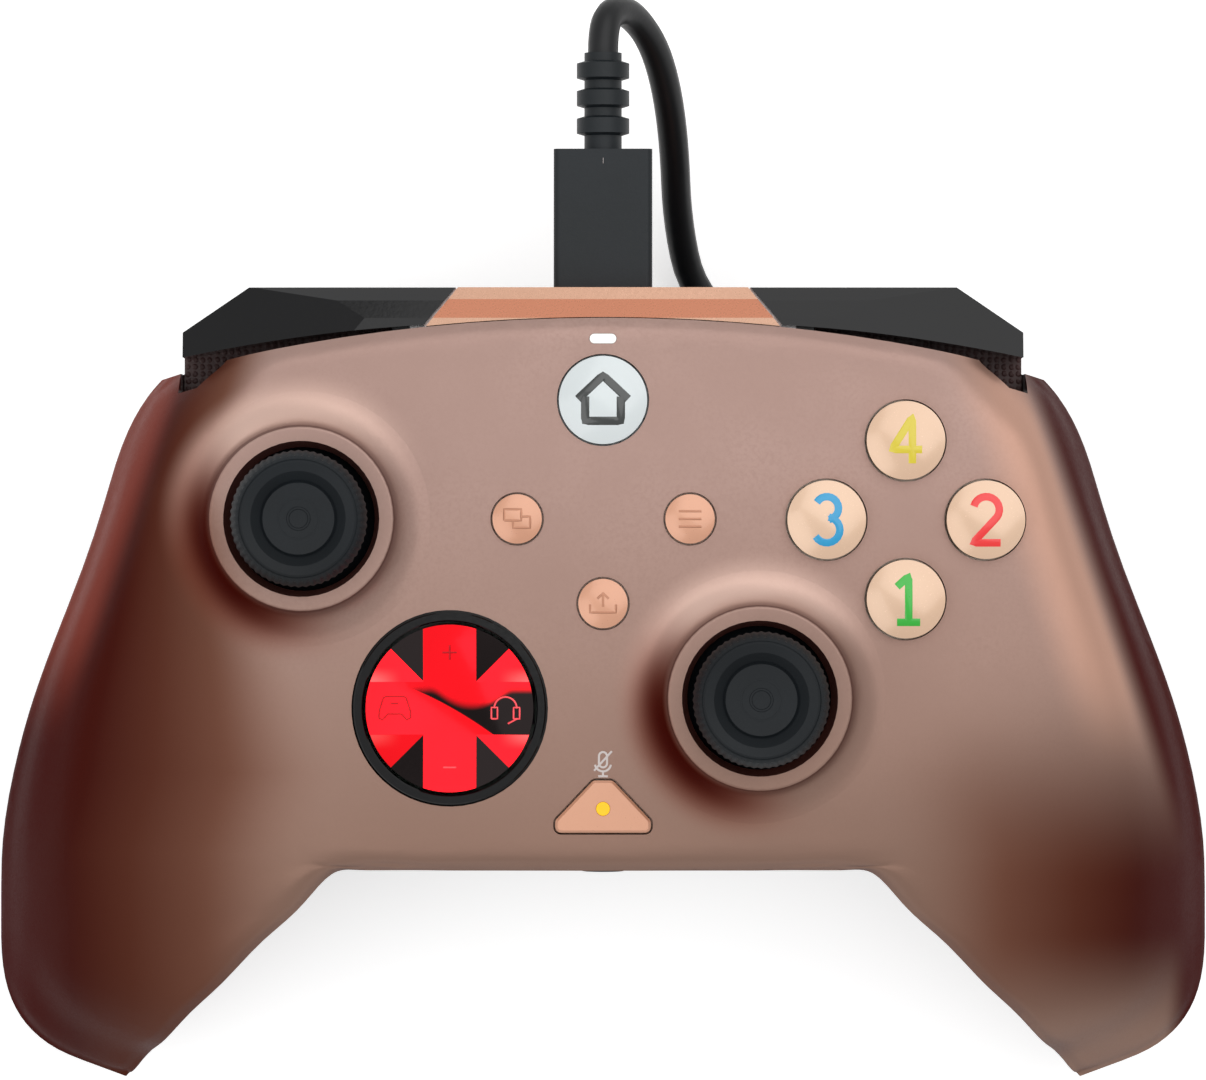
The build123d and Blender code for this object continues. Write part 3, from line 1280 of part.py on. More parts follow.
def button_mat():
    """Rubber sheets on the board with a dome under each button."""
    low, top = BOARD_TOP_Z + SEAT_GAP, BOARD_TOP_Z + MAT_THICK
    xs = [x for x, _ in FACE_BUTTONS.values()]
    ys = [y for _, y in FACE_BUTTONS.values()]
    mid_x, mid_y = sum(xs) / len(xs), sum(ys) / len(ys)
    reach, half = MAT_REACH - LINE_GAP, MAT_BAR_HALF
    cross = box(mid_x - reach, mid_x + reach - WALL, mid_y - half, mid_y + half, low, top)
    cross = cross + box(mid_x - half, mid_x + half, mid_y - reach, max(ys) + half, low, top)
    for x, y in FACE_BUTTONS.values():
        cross = cross + Pos(x, y, 0) * turned(dome_profile(top, MAT_DOME_R, MAT_DOME_TOP_R))
    pieces = [cross]
    small = [*SMALL_BUTTONS.values(), FUNCTION_CENTRE]
    for x, y in small:
        pad = box(x - half, x + half, y - half, y + half, low, top)
        pieces.append(pad + Pos(x, y, 0) * turned(dome_profile(top, MAT_SMALL_DOME_R, MAT_SMALL_DOME_R * STEM_SHARE)))
    return Compound(children=pieces)


def dome_profile(base, radius, top_radius):
    """Outline of one rubber dome."""
    low = base - MAT_THICK / 2
    high = mat_dome_top()
    return ((0, low), (radius, low), (radius, base), (top_radius, high), (0, high))


# Directional pad


def pad_ring():
    """Black ring round the pad, seated in the face."""
    top = FACE_Z + PAD_RING_RISE
    low = FACE_Z - WALL - FLANGE_THICK
    profile = (
        (PAD_RING_BORE_R, top - LINE_GAP / 2),
        (PAD_RING_BORE_R + LINE_GAP / 2, top),
        (PAD_RING_R - LINE_GAP / 2, top),
        (PAD_RING_R, top - LINE_GAP / 2),
        (PAD_RING_R, FACE_Z - WALL - MOVE_GAP),
        (PAD_HOLE_R + FLANGE_WIDTH, FACE_Z - WALL - MOVE_GAP),
        (PAD_HOLE_R + FLANGE_WIDTH, low),
        (PAD_RING_BORE_R, low),
    )
    return Pos(*PAD_CENTRE, 0) * turned(profile)


def pad_dish():
    """Dished disc with a raised cross between four pairs of facets."""
    top, low = PAD_RIM_Z, PAD_BOTTOM_Z
    disc = rod(0, 0, low, top, PAD_DISH_R)
    bowl_r = (PAD_DISH_R**2 + PAD_BOWL_DEPTH**2) / (2 * PAD_BOWL_DEPTH)
    body = disc - Pos(0, 0, top + bowl_r - PAD_BOWL_DEPTH) * Sphere(bowl_r)
    arm = PAD_ARM_WIDTH / 2
    corner_z = top - PAD_BOWL_DEPTH + PAD_FACET_RISE * arm - PAD_FACET_STEP
    reach = 2 * PAD_DISH_R
    for quadrant in range(4):
        start = (arm, arm, corner_z)
        rise = PAD_FACET_RISE * reach
        fall = PAD_FACET_SLOPE * reach
        first = half_space(start, (arm, arm + reach, corner_z + rise), (arm + reach, arm, corner_z - fall), 2 * reach)
        second = half_space(start, (arm + reach, arm, corner_z + rise), (arm, arm + reach, corner_z - fall), 2 * reach)
        column = box(arm, reach, arm, reach, low - WALL, top + 2 * WALL)
        body = body - Rot(0, 0, 90 * quadrant) * (column & first & second)
    hub_low = PAD_PIVOT_Z - PAD_CROSS_HEIGHT / 2
    body = body + rod(0, 0, hub_low, low + WALL / 4, PAD_HUB_R)
    pin = rod_y(0, -PAD_CROSS_OUTER + SEAT_GAP, PAD_CROSS_OUTER - SEAT_GAP, PAD_PIVOT_Z - PAD_CROSS_HEIGHT / 4, PAD_PIN_R)
    return Pos(*PAD_CENTRE, 0) * (body + pin)


def pad_carrier():
    """Ring under the dish that tilts on pins along X."""
    pivot = PAD_PIVOT_Z - PAD_CROSS_HEIGHT / 4
    low, top = pivot - PAD_CROSS_HEIGHT / 2, pivot + PAD_CROSS_HEIGHT / 4
    ring = rod(0, 0, low, top, PAD_CROSS_OUTER) - rod(0, 0, low - WALL, top + WALL, PAD_CROSS_INNER)
    pins = rod_x(-PAD_DISH_R + WALL, PAD_DISH_R - WALL, 0, pivot, PAD_PIN_R)
    pins = pins - rod(0, 0, low - WALL, top + WALL, PAD_CROSS_INNER)
    ring = ring + pins
    ring = ring - rod_y(0, -PAD_CROSS_OUTER - WALL, PAD_CROSS_OUTER + WALL, pivot, PAD_PIN_R + RUN_GAP)
    return Pos(*PAD_CENTRE, 0) * ring


def pad_posts():
    """Two posts on the board, with bearings open at the top, that carry the pad's carrier."""
    pivot = PAD_PIVOT_Z - PAD_CROSS_HEIGHT / 4
    low, top = BOARD_TOP_Z + SEAT_GAP, pivot + PAD_PIN_R / 3
    posts = []
    for side in (-1, 1):
        x = side * (PAD_DISH_R - WALL - LINE_GAP)
        base = box(x - WALL / 2, x + WALL / 2, -PAD_POST_R, PAD_POST_R, low, top)
        bore = rod_x(x - WALL, x + WALL, 0, pivot, PAD_PIN_R + RUN_GAP)
        posts.append(base - bore)
    low_plate = box(-PAD_DISH_R, PAD_DISH_R, -PAD_POST_R, PAD_POST_R, low, low + MAT_THICK)
    body = low_plate + posts[0] + posts[1]
    return Pos(*PAD_CENTRE, 0) * body


# Board and what is on it


def main_board():
    """Circuit board with holes for its screws and for the middle case screw."""
    low, top = BOARD_TOP_Z - BOARD_THICK, BOARD_TOP_Z
    body = box(-BOARD_HALF_X, BOARD_HALF_X, BOARD_LOW_Y, BOARD_HIGH_Y, low, top)
    body = body + box(-BOARD_TONGUE_HALF, BOARD_TONGUE_HALF, BOARD_TONGUE_LOW_Y, BOARD_TONGUE_HIGH_Y, low, top)
    half = BOARD_TONGUE_HALF
    shelf = box(-half, half, BOARD_HIGH_Y, HALF_DEPTH, low, top) & top_disc(low - WALL, top + WALL, WALL + LINE_GAP)
    body = body + shelf
    for x, y in BOARD_SCREWS:
        body = body - rod(x, y, low - WALL, top + WALL, BOARD_SCREW_R + BUTTON_GAP)
    for x, y in CASE_SCREWS:
        body = body - rod(x, y, low - WALL, top + WALL, BOSS_R + MOVE_GAP)
    return body


def board_chips():
    """Main chips and capacitors on the underside and top of the board."""
    top = BOARD_TOP_Z + SEAT_GAP
    under = BOARD_TOP_Z - BOARD_THICK - SEAT_GAP
    side = 2 * USB_HALF
    chips = [
        box(-side, 0, side, 2 * side, under - CHIP_HEIGHT, under),
        box(side, 1.6 * side, side, 1.6 * side, under - CHIP_HEIGHT, under),
        box(-side, -side / 2, -side / 2, 0, under - CHIP_HEIGHT, under),
        box(-2.2 * side, -1.7 * side, side, 1.5 * side, top, top + CHIP_HEIGHT),
    ]
    for step in range(6):
        x = -side + step * side / 2.5
        chips.append(box(x, x + CHIP_HEIGHT, -CHIP_HEIGHT, CHIP_HEIGHT, under - CHIP_HEIGHT, under))
    return Compound(children=chips)


def switch(x, y, height):
    """One small push switch on the board, with its plunger."""
    low = BOARD_TOP_Z + SEAT_GAP
    body = box(x - SWITCH_HALF, x + SWITCH_HALF, y - SWITCH_HALF, y + SWITCH_HALF, low, low + height)
    return body + rod(x, y, low + height / 2, low + height + SWITCH_PLUNGER, SWITCH_PLUNGER_R)


def back_switch(x, y):
    """Switch under the board, above a back button's stem."""
    high = BOARD_TOP_Z - BOARD_THICK - SEAT_GAP
    body = box(x - SWITCH_HALF, x + SWITCH_HALF, y - SWITCH_HALF, y + SWITCH_HALF, high - SWITCH_HEIGHT, high)
    low = BACK_BUTTON_STEM_TOP_Z + BACK_BUTTON_TRAVEL + SEAT_GAP
    return body + rod(x, y, low, high - SWITCH_HEIGHT / 2, SWITCH_PLUNGER_R)


def tact_switches():
    """Switches of the home button, the bumpers and the back buttons."""
    x, y = BACK_BUTTON
    side = switch(*BUMPER_SWITCH, SWITCH_HEIGHT)
    back = back_switch(x, y)
    home = switch(*HOME_CENTRE, SWITCH_HEIGHT)
    return Compound(children=[home, side, mirrored(side), back, mirrored(back)])


def home_button_foot():
    """Where the home button's stem ends above its switch."""
    return BOARD_TOP_Z + SWITCH_HEIGHT + SWITCH_PLUNGER + HOME_TRAVEL + 2 * SEAT_GAP


def usb_socket():
    """Metal can of the socket, open towards the plug."""
    high = PLUG_Z + USB_HEIGHT / 2
    low = high - USB_HEIGHT
    back = USB_FRONT_Y - USB_LENGTH
    middle = (low + high) / 2
    outer = rounded_bar(USB_HALF, USB_HEIGHT / 2, back, USB_FRONT_Y, 0, middle, USB_HEIGHT / 2 - SEAT_GAP)
    inner = rounded_bar(
        USB_HALF - USB_WALL,
        USB_HEIGHT / 2 - USB_WALL,
        back + USB_WALL,
        USB_FRONT_Y + WALL,
        0,
        middle,
        USB_HEIGHT / 2 - USB_WALL - SEAT_GAP,
    )
    tongue = box(-USB_HALF * STEM_SHARE, USB_HALF * STEM_SHARE, back, USB_FRONT_Y - WALL, middle - USB_WALL, middle + USB_WALL)
    feet = box(-USB_HALF * STEM_SHARE, USB_HALF * STEM_SHARE, back, back + WALL, BOARD_TOP_Z + SEAT_GAP, low + USB_WALL)
    return outer - inner + tongue + feet


def audio_jack():
    """Headset socket under the board, with its barrel through the lower wall."""
    high = BOARD_TOP_Z - BOARD_THICK - SEAT_GAP
    low = high - JACK_HEIGHT
    front = CROTCH_Y + WALL + 2 * SEAT_GAP
    middle = (low + high) / 2
    body = box(-JACK_HALF, JACK_HALF, front, front + JACK_LENGTH, low, high)
    body = body + rod_y(0, front - JACK_BARREL_LENGTH, front + SEAT_GAP, middle, JACK_BARREL_R)
    return body - rod_y(0, front - JACK_BARREL_LENGTH - WALL, front + JACK_LENGTH - WALL, middle, JACK_BORE_R)


# Screws and motors


def screw(x, y, seat_z, shank_r, head_r, head, length, up):
    """One pan-head screw with a slot, pointing up or down."""
    sign = 1 if up else -1
    body = rod(x, y, seat_z, seat_z + sign * length, shank_r)
    body = body + rod(x, y, seat_z - sign * head, seat_z, head_r)
    outer = seat_z - sign * head
    slot = box(x - head_r, x + head_r, y - SCREW_SLOT / 2, y + SCREW_SLOT / 2, outer, outer + sign * head / 2)
    return body - slot


def case_screws():
    """The screws that join the two shells."""
    screws = []
    for x, y in CASE_SCREWS:
        seat = seam_height(y) - SEAT_GAP - SCREW_SEAT - SEAT_GAP
        screws.append(screw(x, y, seat, SCREW_SHANK_R, SCREW_HEAD_R, SCREW_HEAD_HEIGHT, SCREW_LENGTH, True))
    return Compound(children=screws)


def board_screws():
    """The screws that hold the board on its posts."""
    seat = BOARD_TOP_Z + SEAT_GAP
    length = BOARD_SCREW_LENGTH
    return Compound(
        children=[
            screw(x, y, seat, BOARD_SCREW_R, BOARD_SCREW_HEAD_R, BOARD_SCREW_HEAD, length, False)
            for x, y in BOARD_SCREWS
        ]
    )


def motor():
    """Rumble motor of the right-hand grip."""
    can = rod_x(MOTOR_INNER_X, MOTOR_OUTER_X, MOTOR_Y, MOTOR_Z, MOTOR_R)
    can = chamfer(can.edges(), LINE_GAP)
    bore = rod_x(MOTOR_INNER_X + WALL, MOTOR_OUTER_X + WALL, MOTOR_Y, MOTOR_Z, MOTOR_SHAFT_R + RUN_GAP)
    return can - bore


def motor_weight():
    """Shaft and off-centre weight of the right-hand motor."""
    near = MOTOR_OUTER_X + 2 * LINE_GAP
    far = near + WEIGHT_LENGTH
    shaft = rod_x(MOTOR_INNER_X + WALL + LINE_GAP, far, MOTOR_Y, MOTOR_Z, MOTOR_SHAFT_R)
    hub = rod_x(near, far, MOTOR_Y, MOTOR_Z, WEIGHT_HUB_R)
    half = rod_x(near, far, MOTOR_Y, MOTOR_Z, WEIGHT_R)
    half = half & box(near, far, MOTOR_Y - WEIGHT_R, MOTOR_Y + WEIGHT_R, MOTOR_Z - WEIGHT_R, MOTOR_Z)
    return shaft + hub + half


# Cable


def biarc(p0, t0, p1, t1):
    """Two tangent arcs between two points with given unit tangents."""
    run = p1 - p0
    total = t0 + t1
    curve = 2 * (1 - t0.dot(t1))
    along = run.dot(total)
    reach = (math.sqrt(along * along + curve * run.dot(run)) - along) / curve
    a = p0 + t0 * reach
    b = p1 - t1 * reach
    middle = (a + b) / 2
    return [TangentArc(p0, middle, tangent=t0), TangentArc(middle, p1, tangent=(b - a).normalized())]


def winding(nodes, first, last):
    """A path of tangent arcs through the nodes of a winding."""
    tangents = [first.normalized()]
    tangents += [(after - before).normalized() for before, after in zip(nodes, nodes[2:])]
    tangents.append(last.normalized())
    arcs = []
    for step in range(len(nodes) - 1):
        arcs += biarc(nodes[step], tangents[step], nodes[step + 1], tangents[step + 1])
    return Wire(arcs)


def tube_along(path, radius):
    """A round tube swept along a path."""
    section = Plane(path.position_at(0), z_dir=path.tangent_at(0)) * Circle(radius)
    return sweep(section, path=path)


def coil_nodes():
    """Quarter-turn points of the coil, which spirals in and out in four layers."""
    x, y = COIL_CENTRE
    nodes = [Vector(x + COIL_OUTER_R, y, COIL_LOW_Z)]
    radius, z, quarter, inwards = COIL_OUTER_R, COIL_LOW_Z, 0, True
    for layer, count in enumerate(COIL_LAYER_QUARTERS):
        drift = -COIL_PITCH / 4 if inwards else COIL_PITCH / 4
        steps = [(drift, 0.0)] * count
        if layer < len(COIL_LAYER_QUARTERS) - 1:
            steps += [(drift, COIL_LIFT / COIL_CLIMB_QUARTERS), (-drift, COIL_LIFT / COIL_CLIMB_QUARTERS)]
        for d_radius, d_z in steps:
            quarter += 1
            radius += d_radius
            z += d_z
            angle = -math.pi / 2 * quarter
            nodes.append(Vector(x + radius * math.cos(angle), y + radius * math.sin(angle), z))
        inwards = not inwards
    return nodes


def cord_coil():
    """The put-away length of the cord, wound in one unbroken tube."""
    path = winding(coil_nodes(), Vector(0, -1, 0), Vector(-1, 0, 0))
    coil = tube_along(path, CORD_R)
    report_coil(path, coil)
    return coil


def report_coil(path, coil):
    """Prints the coil's length, its volume and its least gap to itself, measured on points of its path."""
    points = []
    for edge in path.edges():
        points += [tuple(edge.position_at(step / 5)) for step in range(5)]
    far = 20
    least = min(math.dist(points[i], points[j]) for i in range(len(points)) for j in range(i + far, len(points)))
    print("coil length", round(path.length), "least gap to itself", round(least - 2 * CORD_R, 3))
    print("coil volume over section times length", round(coil.volume / (math.pi * CORD_R**2 * path.length), 4))


def corner_radii(route):
    """Radius of the arc at each corner of a route, as large as its two runs allow."""
    points = [Vector(*point) for point in route]
    radii = []
    for before, here, after in zip(points, points[1:], points[2:]):
        turn = math.radians((here - before).get_angle(after - here))
        shorter = min((here - before).length, (after - here).length)
        radii.append(0.45 * shorter / math.tan(turn / 2))
    return radii


def cord_tube(route, name):
    """A tube along straight runs joined by tangent arcs."""
    radii = corner_radii(route)
    path = FilletPolyline(*route, radius=radii)
    start, after = Vector(*route[0]), Vector(*route[1])
    section = Plane(start, z_dir=after - start) * Circle(CORD_R)
    tube = sweep(section, path=path)
    wanted = math.pi * CORD_R**2 * path.length
    print(name, "length", round(path.length, 1), "radii", [round(radius, 1) for radius in radii])
    print(name, "volume over section times length", round(tube.volume / wanted, 4))
    return tube


def cord():
    """The lead from the plug to the coil and the tail from the coil to the far plug."""
    return Compound(children=[cord_tube(LEAD_ROUTE, "lead"), cord_tube(TAIL_ROUTE, "tail")])


def usb_c_plug():
    """Moulded grip of the plug in the gamepad's socket."""
    body = rounded_bar(PLUG_HALF, PLUG_HEIGHT / 2, PLUG_BACK_Y, PLUG_END_Y, 0, PLUG_Z, PLUG_EDGE_R)
    recess = rounded_bar(
        TIP_HALF + SEAT_GAP,
        TIP_HEIGHT / 2 + SEAT_GAP,
        PLUG_BACK_Y - WALL,
        PLUG_BACK_Y + TIP_LENGTH / 2,
        0,
        PLUG_Z,
        TIP_HEIGHT / 2,
    )
    return body - recess


def usb_c_tip():
    """Metal tip of that plug."""
    start = PLUG_BACK_Y - TIP_LENGTH
    end = PLUG_BACK_Y + TIP_LENGTH / 2 - SEAT_GAP
    body = rounded_bar(TIP_HALF, TIP_HEIGHT / 2, start, end, 0, PLUG_Z, TIP_HEIGHT / 2 - SEAT_GAP)
    bore = rounded_bar(
        TIP_HALF - USB_WALL, TIP_HEIGHT / 2 - USB_WALL, start - WALL, PLUG_BACK_Y, 0, PLUG_Z, TIP_HEIGHT / 2 - 2 * USB_WALL
    )
    return body - bore


def strain_relief():
    """Ribbed sleeve behind the plug: a narrow neck, then ribs that are thinner towards the cord."""
    start = PLUG_END_Y + SEAT_GAP
    length = RELIEF_END_Y - start
    neck = length / (2 * RELIEF_RIBS + 1)
    points = [(0, 0), (RELIEF_NECK_R, 0), (RELIEF_NECK_R, neck)]
    for rib in range(RELIEF_RIBS):
        base = neck + rib * 2 * neck
        radius = RELIEF_R
        step = 2 * neck * RELIEF_RIB_SHARE
        points += [(radius, base + LINE_GAP), (radius, base + step), (RELIEF_NECK_R, base + step + LINE_GAP)]
        points.append((RELIEF_NECK_R, base + 2 * neck))
    points.append((0, length))
    sleeve = turned(points)
    return Pos(0, start, PLUG_Z) * Rot(-90, 0, 0) * sleeve


def coil_tie():
    """Strap round the coil's bundle."""
    layers = len(COIL_LAYER_QUARTERS) - 1
    inner_r = COIL_OUTER_R - (COIL_LAYER_QUARTERS[0] + 1) * COIL_PITCH / 4 - CORD_R - TIE_GAP
    outer_r = COIL_OUTER_R + COIL_PITCH / 4 + CORD_R + TIE_GAP
    low, high = COIL_LOW_Z - CORD_R - TIE_GAP, COIL_LOW_Z + layers * COIL_LIFT + CORD_R + TIE_GAP
    t = TIE_THICK
    outer = box(inner_r - t, outer_r + t, -TIE_WIDTH / 2, TIE_WIDTH / 2, low - t, high + t)
    hole = box(inner_r, outer_r, -TIE_WIDTH, TIE_WIDTH, low, high)
    return Pos(*COIL_CENTRE, 0) * Rot(0, 0, TIE_ANGLE) * (outer - hole)


def usb_a_plug():
    """Moulded grip of the far plug with its short relief, lying on the surface beside the coil."""
    x, y, z = TAIL_ROUTE[-1]
    start = y + SEAT_GAP
    grip = start + FAR_RELIEF_LENGTH
    end = grip + FAR_PLUG_LENGTH
    body = rounded_bar(FAR_PLUG_HALF, FAR_PLUG_HEIGHT / 2, grip, end, x, z, PLUG_EDGE_R)
    cone = turned(((0, 0), (RELIEF_NECK_R, 0), (RELIEF_R, FAR_RELIEF_LENGTH), (RELIEF_R, grip - start + WALL), (0, grip - start + WALL)))
    body = body + Pos(x, start, z) * Rot(-90, 0, 0) * cone
    recess = box(
        x - FAR_TIP_HALF - SEAT_GAP,
        x + FAR_TIP_HALF + SEAT_GAP,
        end - FAR_TIP_LENGTH / 2,
        end + WALL,
        z - FAR_TIP_HEIGHT / 2 - SEAT_GAP,
        z + FAR_TIP_HEIGHT / 2 + SEAT_GAP,
    )
    return body - recess


def usb_a_tip():
    """Metal tip of the far plug."""
    x, y, z = TAIL_ROUTE[-1]
    end = y + SEAT_GAP + FAR_RELIEF_LENGTH + FAR_PLUG_LENGTH
    start = end - FAR_TIP_LENGTH / 2 + SEAT_GAP
    tip_end = end + FAR_TIP_LENGTH
    half, height, wall = FAR_TIP_HALF, FAR_TIP_HEIGHT / 2, FAR_TIP_WALL
    body = box(x - half, x + half, start, tip_end, z - height, z + height)
    body = body - box(x - half + wall, x + half - wall, end, tip_end + WALL, z - height + wall, z + height - wall)
    tongue = box(x - half + wall, x + half - wall, end - wall, tip_end - wall, z - height + wall / 2, z)
    return body + tongue


def build():
    """All pieces by name."""
    pieces = {
        "faceplate": faceplate(),
        "rear_shell": rear_shell(),
        "top_bridge": top_bridge(),
        "inner_frame": inner_frame(),
        "bumper_pins": bumper_pins(),
        "trigger_pins": trigger_pins(),
        "main_board": main_board(),
        "board_chips": board_chips(),
        "tact_switches": tact_switches(),
        "usb_socket": usb_socket(),
        "audio_jack": audio_jack(),
        "button_mat": button_mat(),
        "pad_dish": pad_dish(),
        "pad_carrier": pad_carrier(),
        "pad_ring": pad_ring(),
        "pad_posts": pad_posts(),
        "function_button": function_button(),
        "function_lens": function_lens(),
        "status_lens": status_lens(),
        "case_screws": case_screws(),
        "board_screws": board_screws(),
        "usb_c_plug": usb_c_plug(),
        "usb_c_tip": usb_c_tip(),
        "strain_relief": strain_relief(),
        "cord": cord(),
        "cord_coil": cord_coil(),
        "coil_tie": coil_tie(),
        "usb_a_plug": usb_a_plug(),
        "usb_a_tip": usb_a_tip(),
    }
    pairs = {
        "bumper": bumper(),
        "trigger": trigger(),
        "trigger_spring": trigger_spring(),
        "motor": motor(),
        "motor_weight": motor_weight(),
        "back_button": back_button(),
    }
    for name, shape in pairs.items():
        pieces["right_" + name] = shape
        pieces["left_" + name] = mirrored(shape)
    for side, place in (("left", LEFT_STICK), ("right", RIGHT_STICK)):
        pieces[side + "_stick_cap"] = stick_cap(*place)
        pieces[side + "_stick_stem"] = stick_stem(*place)
        pieces[side + "_stick_yoke"] = stick_yoke(*place)
        pieces[side + "_stick_housing"] = stick_housing(*place)
        pieces[side + "_stick_sensors"] = stick_sensors(*place)
    foot = button_foot(FACE_BUTTON_TRAVEL)
    for name, place in FACE_BUTTONS.items():
        pieces[name + "_button"] = round_button(*place, FACE_BUTTON_R, FACE_BUTTON_RISE, FACE_BUTTON_DOME, foot)
    foot = button_foot(SMALL_BUTTON_TRAVEL)
    for name, place in SMALL_BUTTONS.items():
        pieces[name + "_button"] = round_button(*place, SMALL_BUTTON_R, SMALL_BUTTON_RISE, SMALL_BUTTON_DOME, foot)
    pieces["home_button"] = round_button(*HOME_CENTRE, HOME_R, HOME_RISE, HOME_DOME, home_button_foot())
    return pieces


def main():
    """Writes each piece to its own file."""
    os.makedirs("parts", exist_ok=True)
    for name, shape in build().items():
        export_step(shape, os.path.join("parts", name + ".step"))


if __name__ == "__main__":
    main()
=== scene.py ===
"""Looks of a wired gamepad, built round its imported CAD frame. Lengths in classes are millimetres."""

import logging
import math
from dataclasses import dataclass
from enum import Enum
from typing import Any, Iterable, Optional, Sequence

import bpy
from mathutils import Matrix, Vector


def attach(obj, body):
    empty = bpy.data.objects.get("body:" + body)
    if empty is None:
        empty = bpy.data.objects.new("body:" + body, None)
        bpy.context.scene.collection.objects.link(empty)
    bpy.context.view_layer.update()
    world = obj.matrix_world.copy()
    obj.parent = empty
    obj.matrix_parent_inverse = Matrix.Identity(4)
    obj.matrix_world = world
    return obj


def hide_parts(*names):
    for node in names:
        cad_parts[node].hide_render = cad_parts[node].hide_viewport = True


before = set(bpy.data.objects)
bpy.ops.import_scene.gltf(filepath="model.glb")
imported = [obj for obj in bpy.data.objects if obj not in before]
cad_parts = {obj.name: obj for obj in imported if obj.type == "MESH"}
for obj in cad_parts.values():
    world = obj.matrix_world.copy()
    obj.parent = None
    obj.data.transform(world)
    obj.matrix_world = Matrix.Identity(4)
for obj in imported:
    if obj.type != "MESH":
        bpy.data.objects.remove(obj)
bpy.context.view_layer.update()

MM = 0.001
LOG = logging.getLogger("gamepad")
Point = tuple[float, float]
Place = tuple[float, float, float]
Span = tuple[float, float]
Stroke = Sequence[Point]
Tree = bpy.types.NodeTree
Socket = bpy.types.NodeSocket
Piece = bpy.types.Object


# Shared tools


def linear(colour: str) -> tuple[float, float, float, float]:
    """Turns an sRGB hex value into the linear colour that a shader takes.

    Args:
        colour: a value such as "#b2968d".

    Returns:
        Red, green, blue and a full alpha.
    """
    shares = [int(colour[i : i + 2], 16) / 255 for i in (1, 3, 5)]
    red, green, blue = (c / 12.92 if c <= 0.04045 else ((c + 0.055) / 1.055) ** 2.4 for c in shares)
    return red, green, blue, 1.0


def add_node(
    tree: Tree,
    kind: str,
    settings: Optional[dict[str, Any]] = None,
    inputs: Optional[dict[Any, Any]] = None,
) -> bpy.types.Node:
    """Adds one shader node with its settings and its links.

    Args:
        tree: the node tree that gets it.
        kind: the node's type, without the ShaderNode in front.
        settings: properties of the node.
        inputs: a value or another node's output for each input, by name or number.

    Returns:
        The new node.
    """
    node = tree.nodes.new("ShaderNode" + kind)
    for name, value in (settings or {}).items():
        setattr(node, name, value)
    for key, value in (inputs or {}).items():
        if isinstance(value, Socket):
            tree.links.new(value, node.inputs[key])
        else:
            node.inputs[key].default_value = value
    return node


def maths(tree: Tree, operation: str, *values: Any, clamp: bool = False) -> Socket:
    """Adds one Math node and gives its output.

    Args:
        tree: the node tree that gets it.
        operation: the Math node's operation.
        values: numbers or outputs, in the order of the node's inputs.
        clamp: whether the result is kept between 0 and 1.

    Returns:
        The node's output.
    """
    settings = {"operation": operation, "use_clamp": clamp}
    return add_node(tree, "Math", settings, dict(enumerate(values))).outputs[0]


def ramp(tree: Tree, value: Any, low: float, high: float, smooth: bool = True) -> Socket:
    """Rises from 0 to 1 while a value goes from low to high.

    Args:
        tree: the node tree that gets the node.
        value: the output that is read.
        low: where the rise starts.
        high: where it ends.
        smooth: whether both ends are eased.

    Returns:
        The share from 0 to 1.
    """
    settings = {"interpolation_type": "SMOOTHSTEP" if smooth else "LINEAR"}
    inputs = {"Value": value, "From Min": low, "From Max": high, "To Min": 0.0, "To Max": 1.0}
    return add_node(tree, "MapRange", settings, inputs).outputs[0]


def mixed(tree: Tree, share: Any, first: Any, second: Any) -> Socket:
    """Mixes two colours.

    Args:
        tree: the node tree that gets the node.
        share: how much of the second colour shows.
        first: the colour at 0, an output or an sRGB hex value.
        second: the colour at 1, an output or an sRGB hex value.

    Returns:
        The mixed colour.
    """
    pair = [linear(c) if isinstance(c, str) else c for c in (first, second)]
    inputs = {0: share, 6: pair[0], 7: pair[1]}
    return add_node(tree, "Mix", {"data_type": "RGBA"}, inputs).outputs[2]


def cad(name: str) -> Piece:
    """The CAD node of that name."""
    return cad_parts[name]


def pick(piece: Piece) -> None:
    """Selects one object and nothing else."""
    bpy.ops.object.select_all(action="DESELECT")
    piece.select_set(True)
    bpy.context.view_layer.objects.active = piece


def in_mesh(piece: Piece) -> Piece:
    """Puts an object's place and turn into its mesh, so that the object itself is at the origin."""
    pick(piece)
    bpy.ops.object.transform_apply(location=True, rotation=True, scale=True)
    return piece


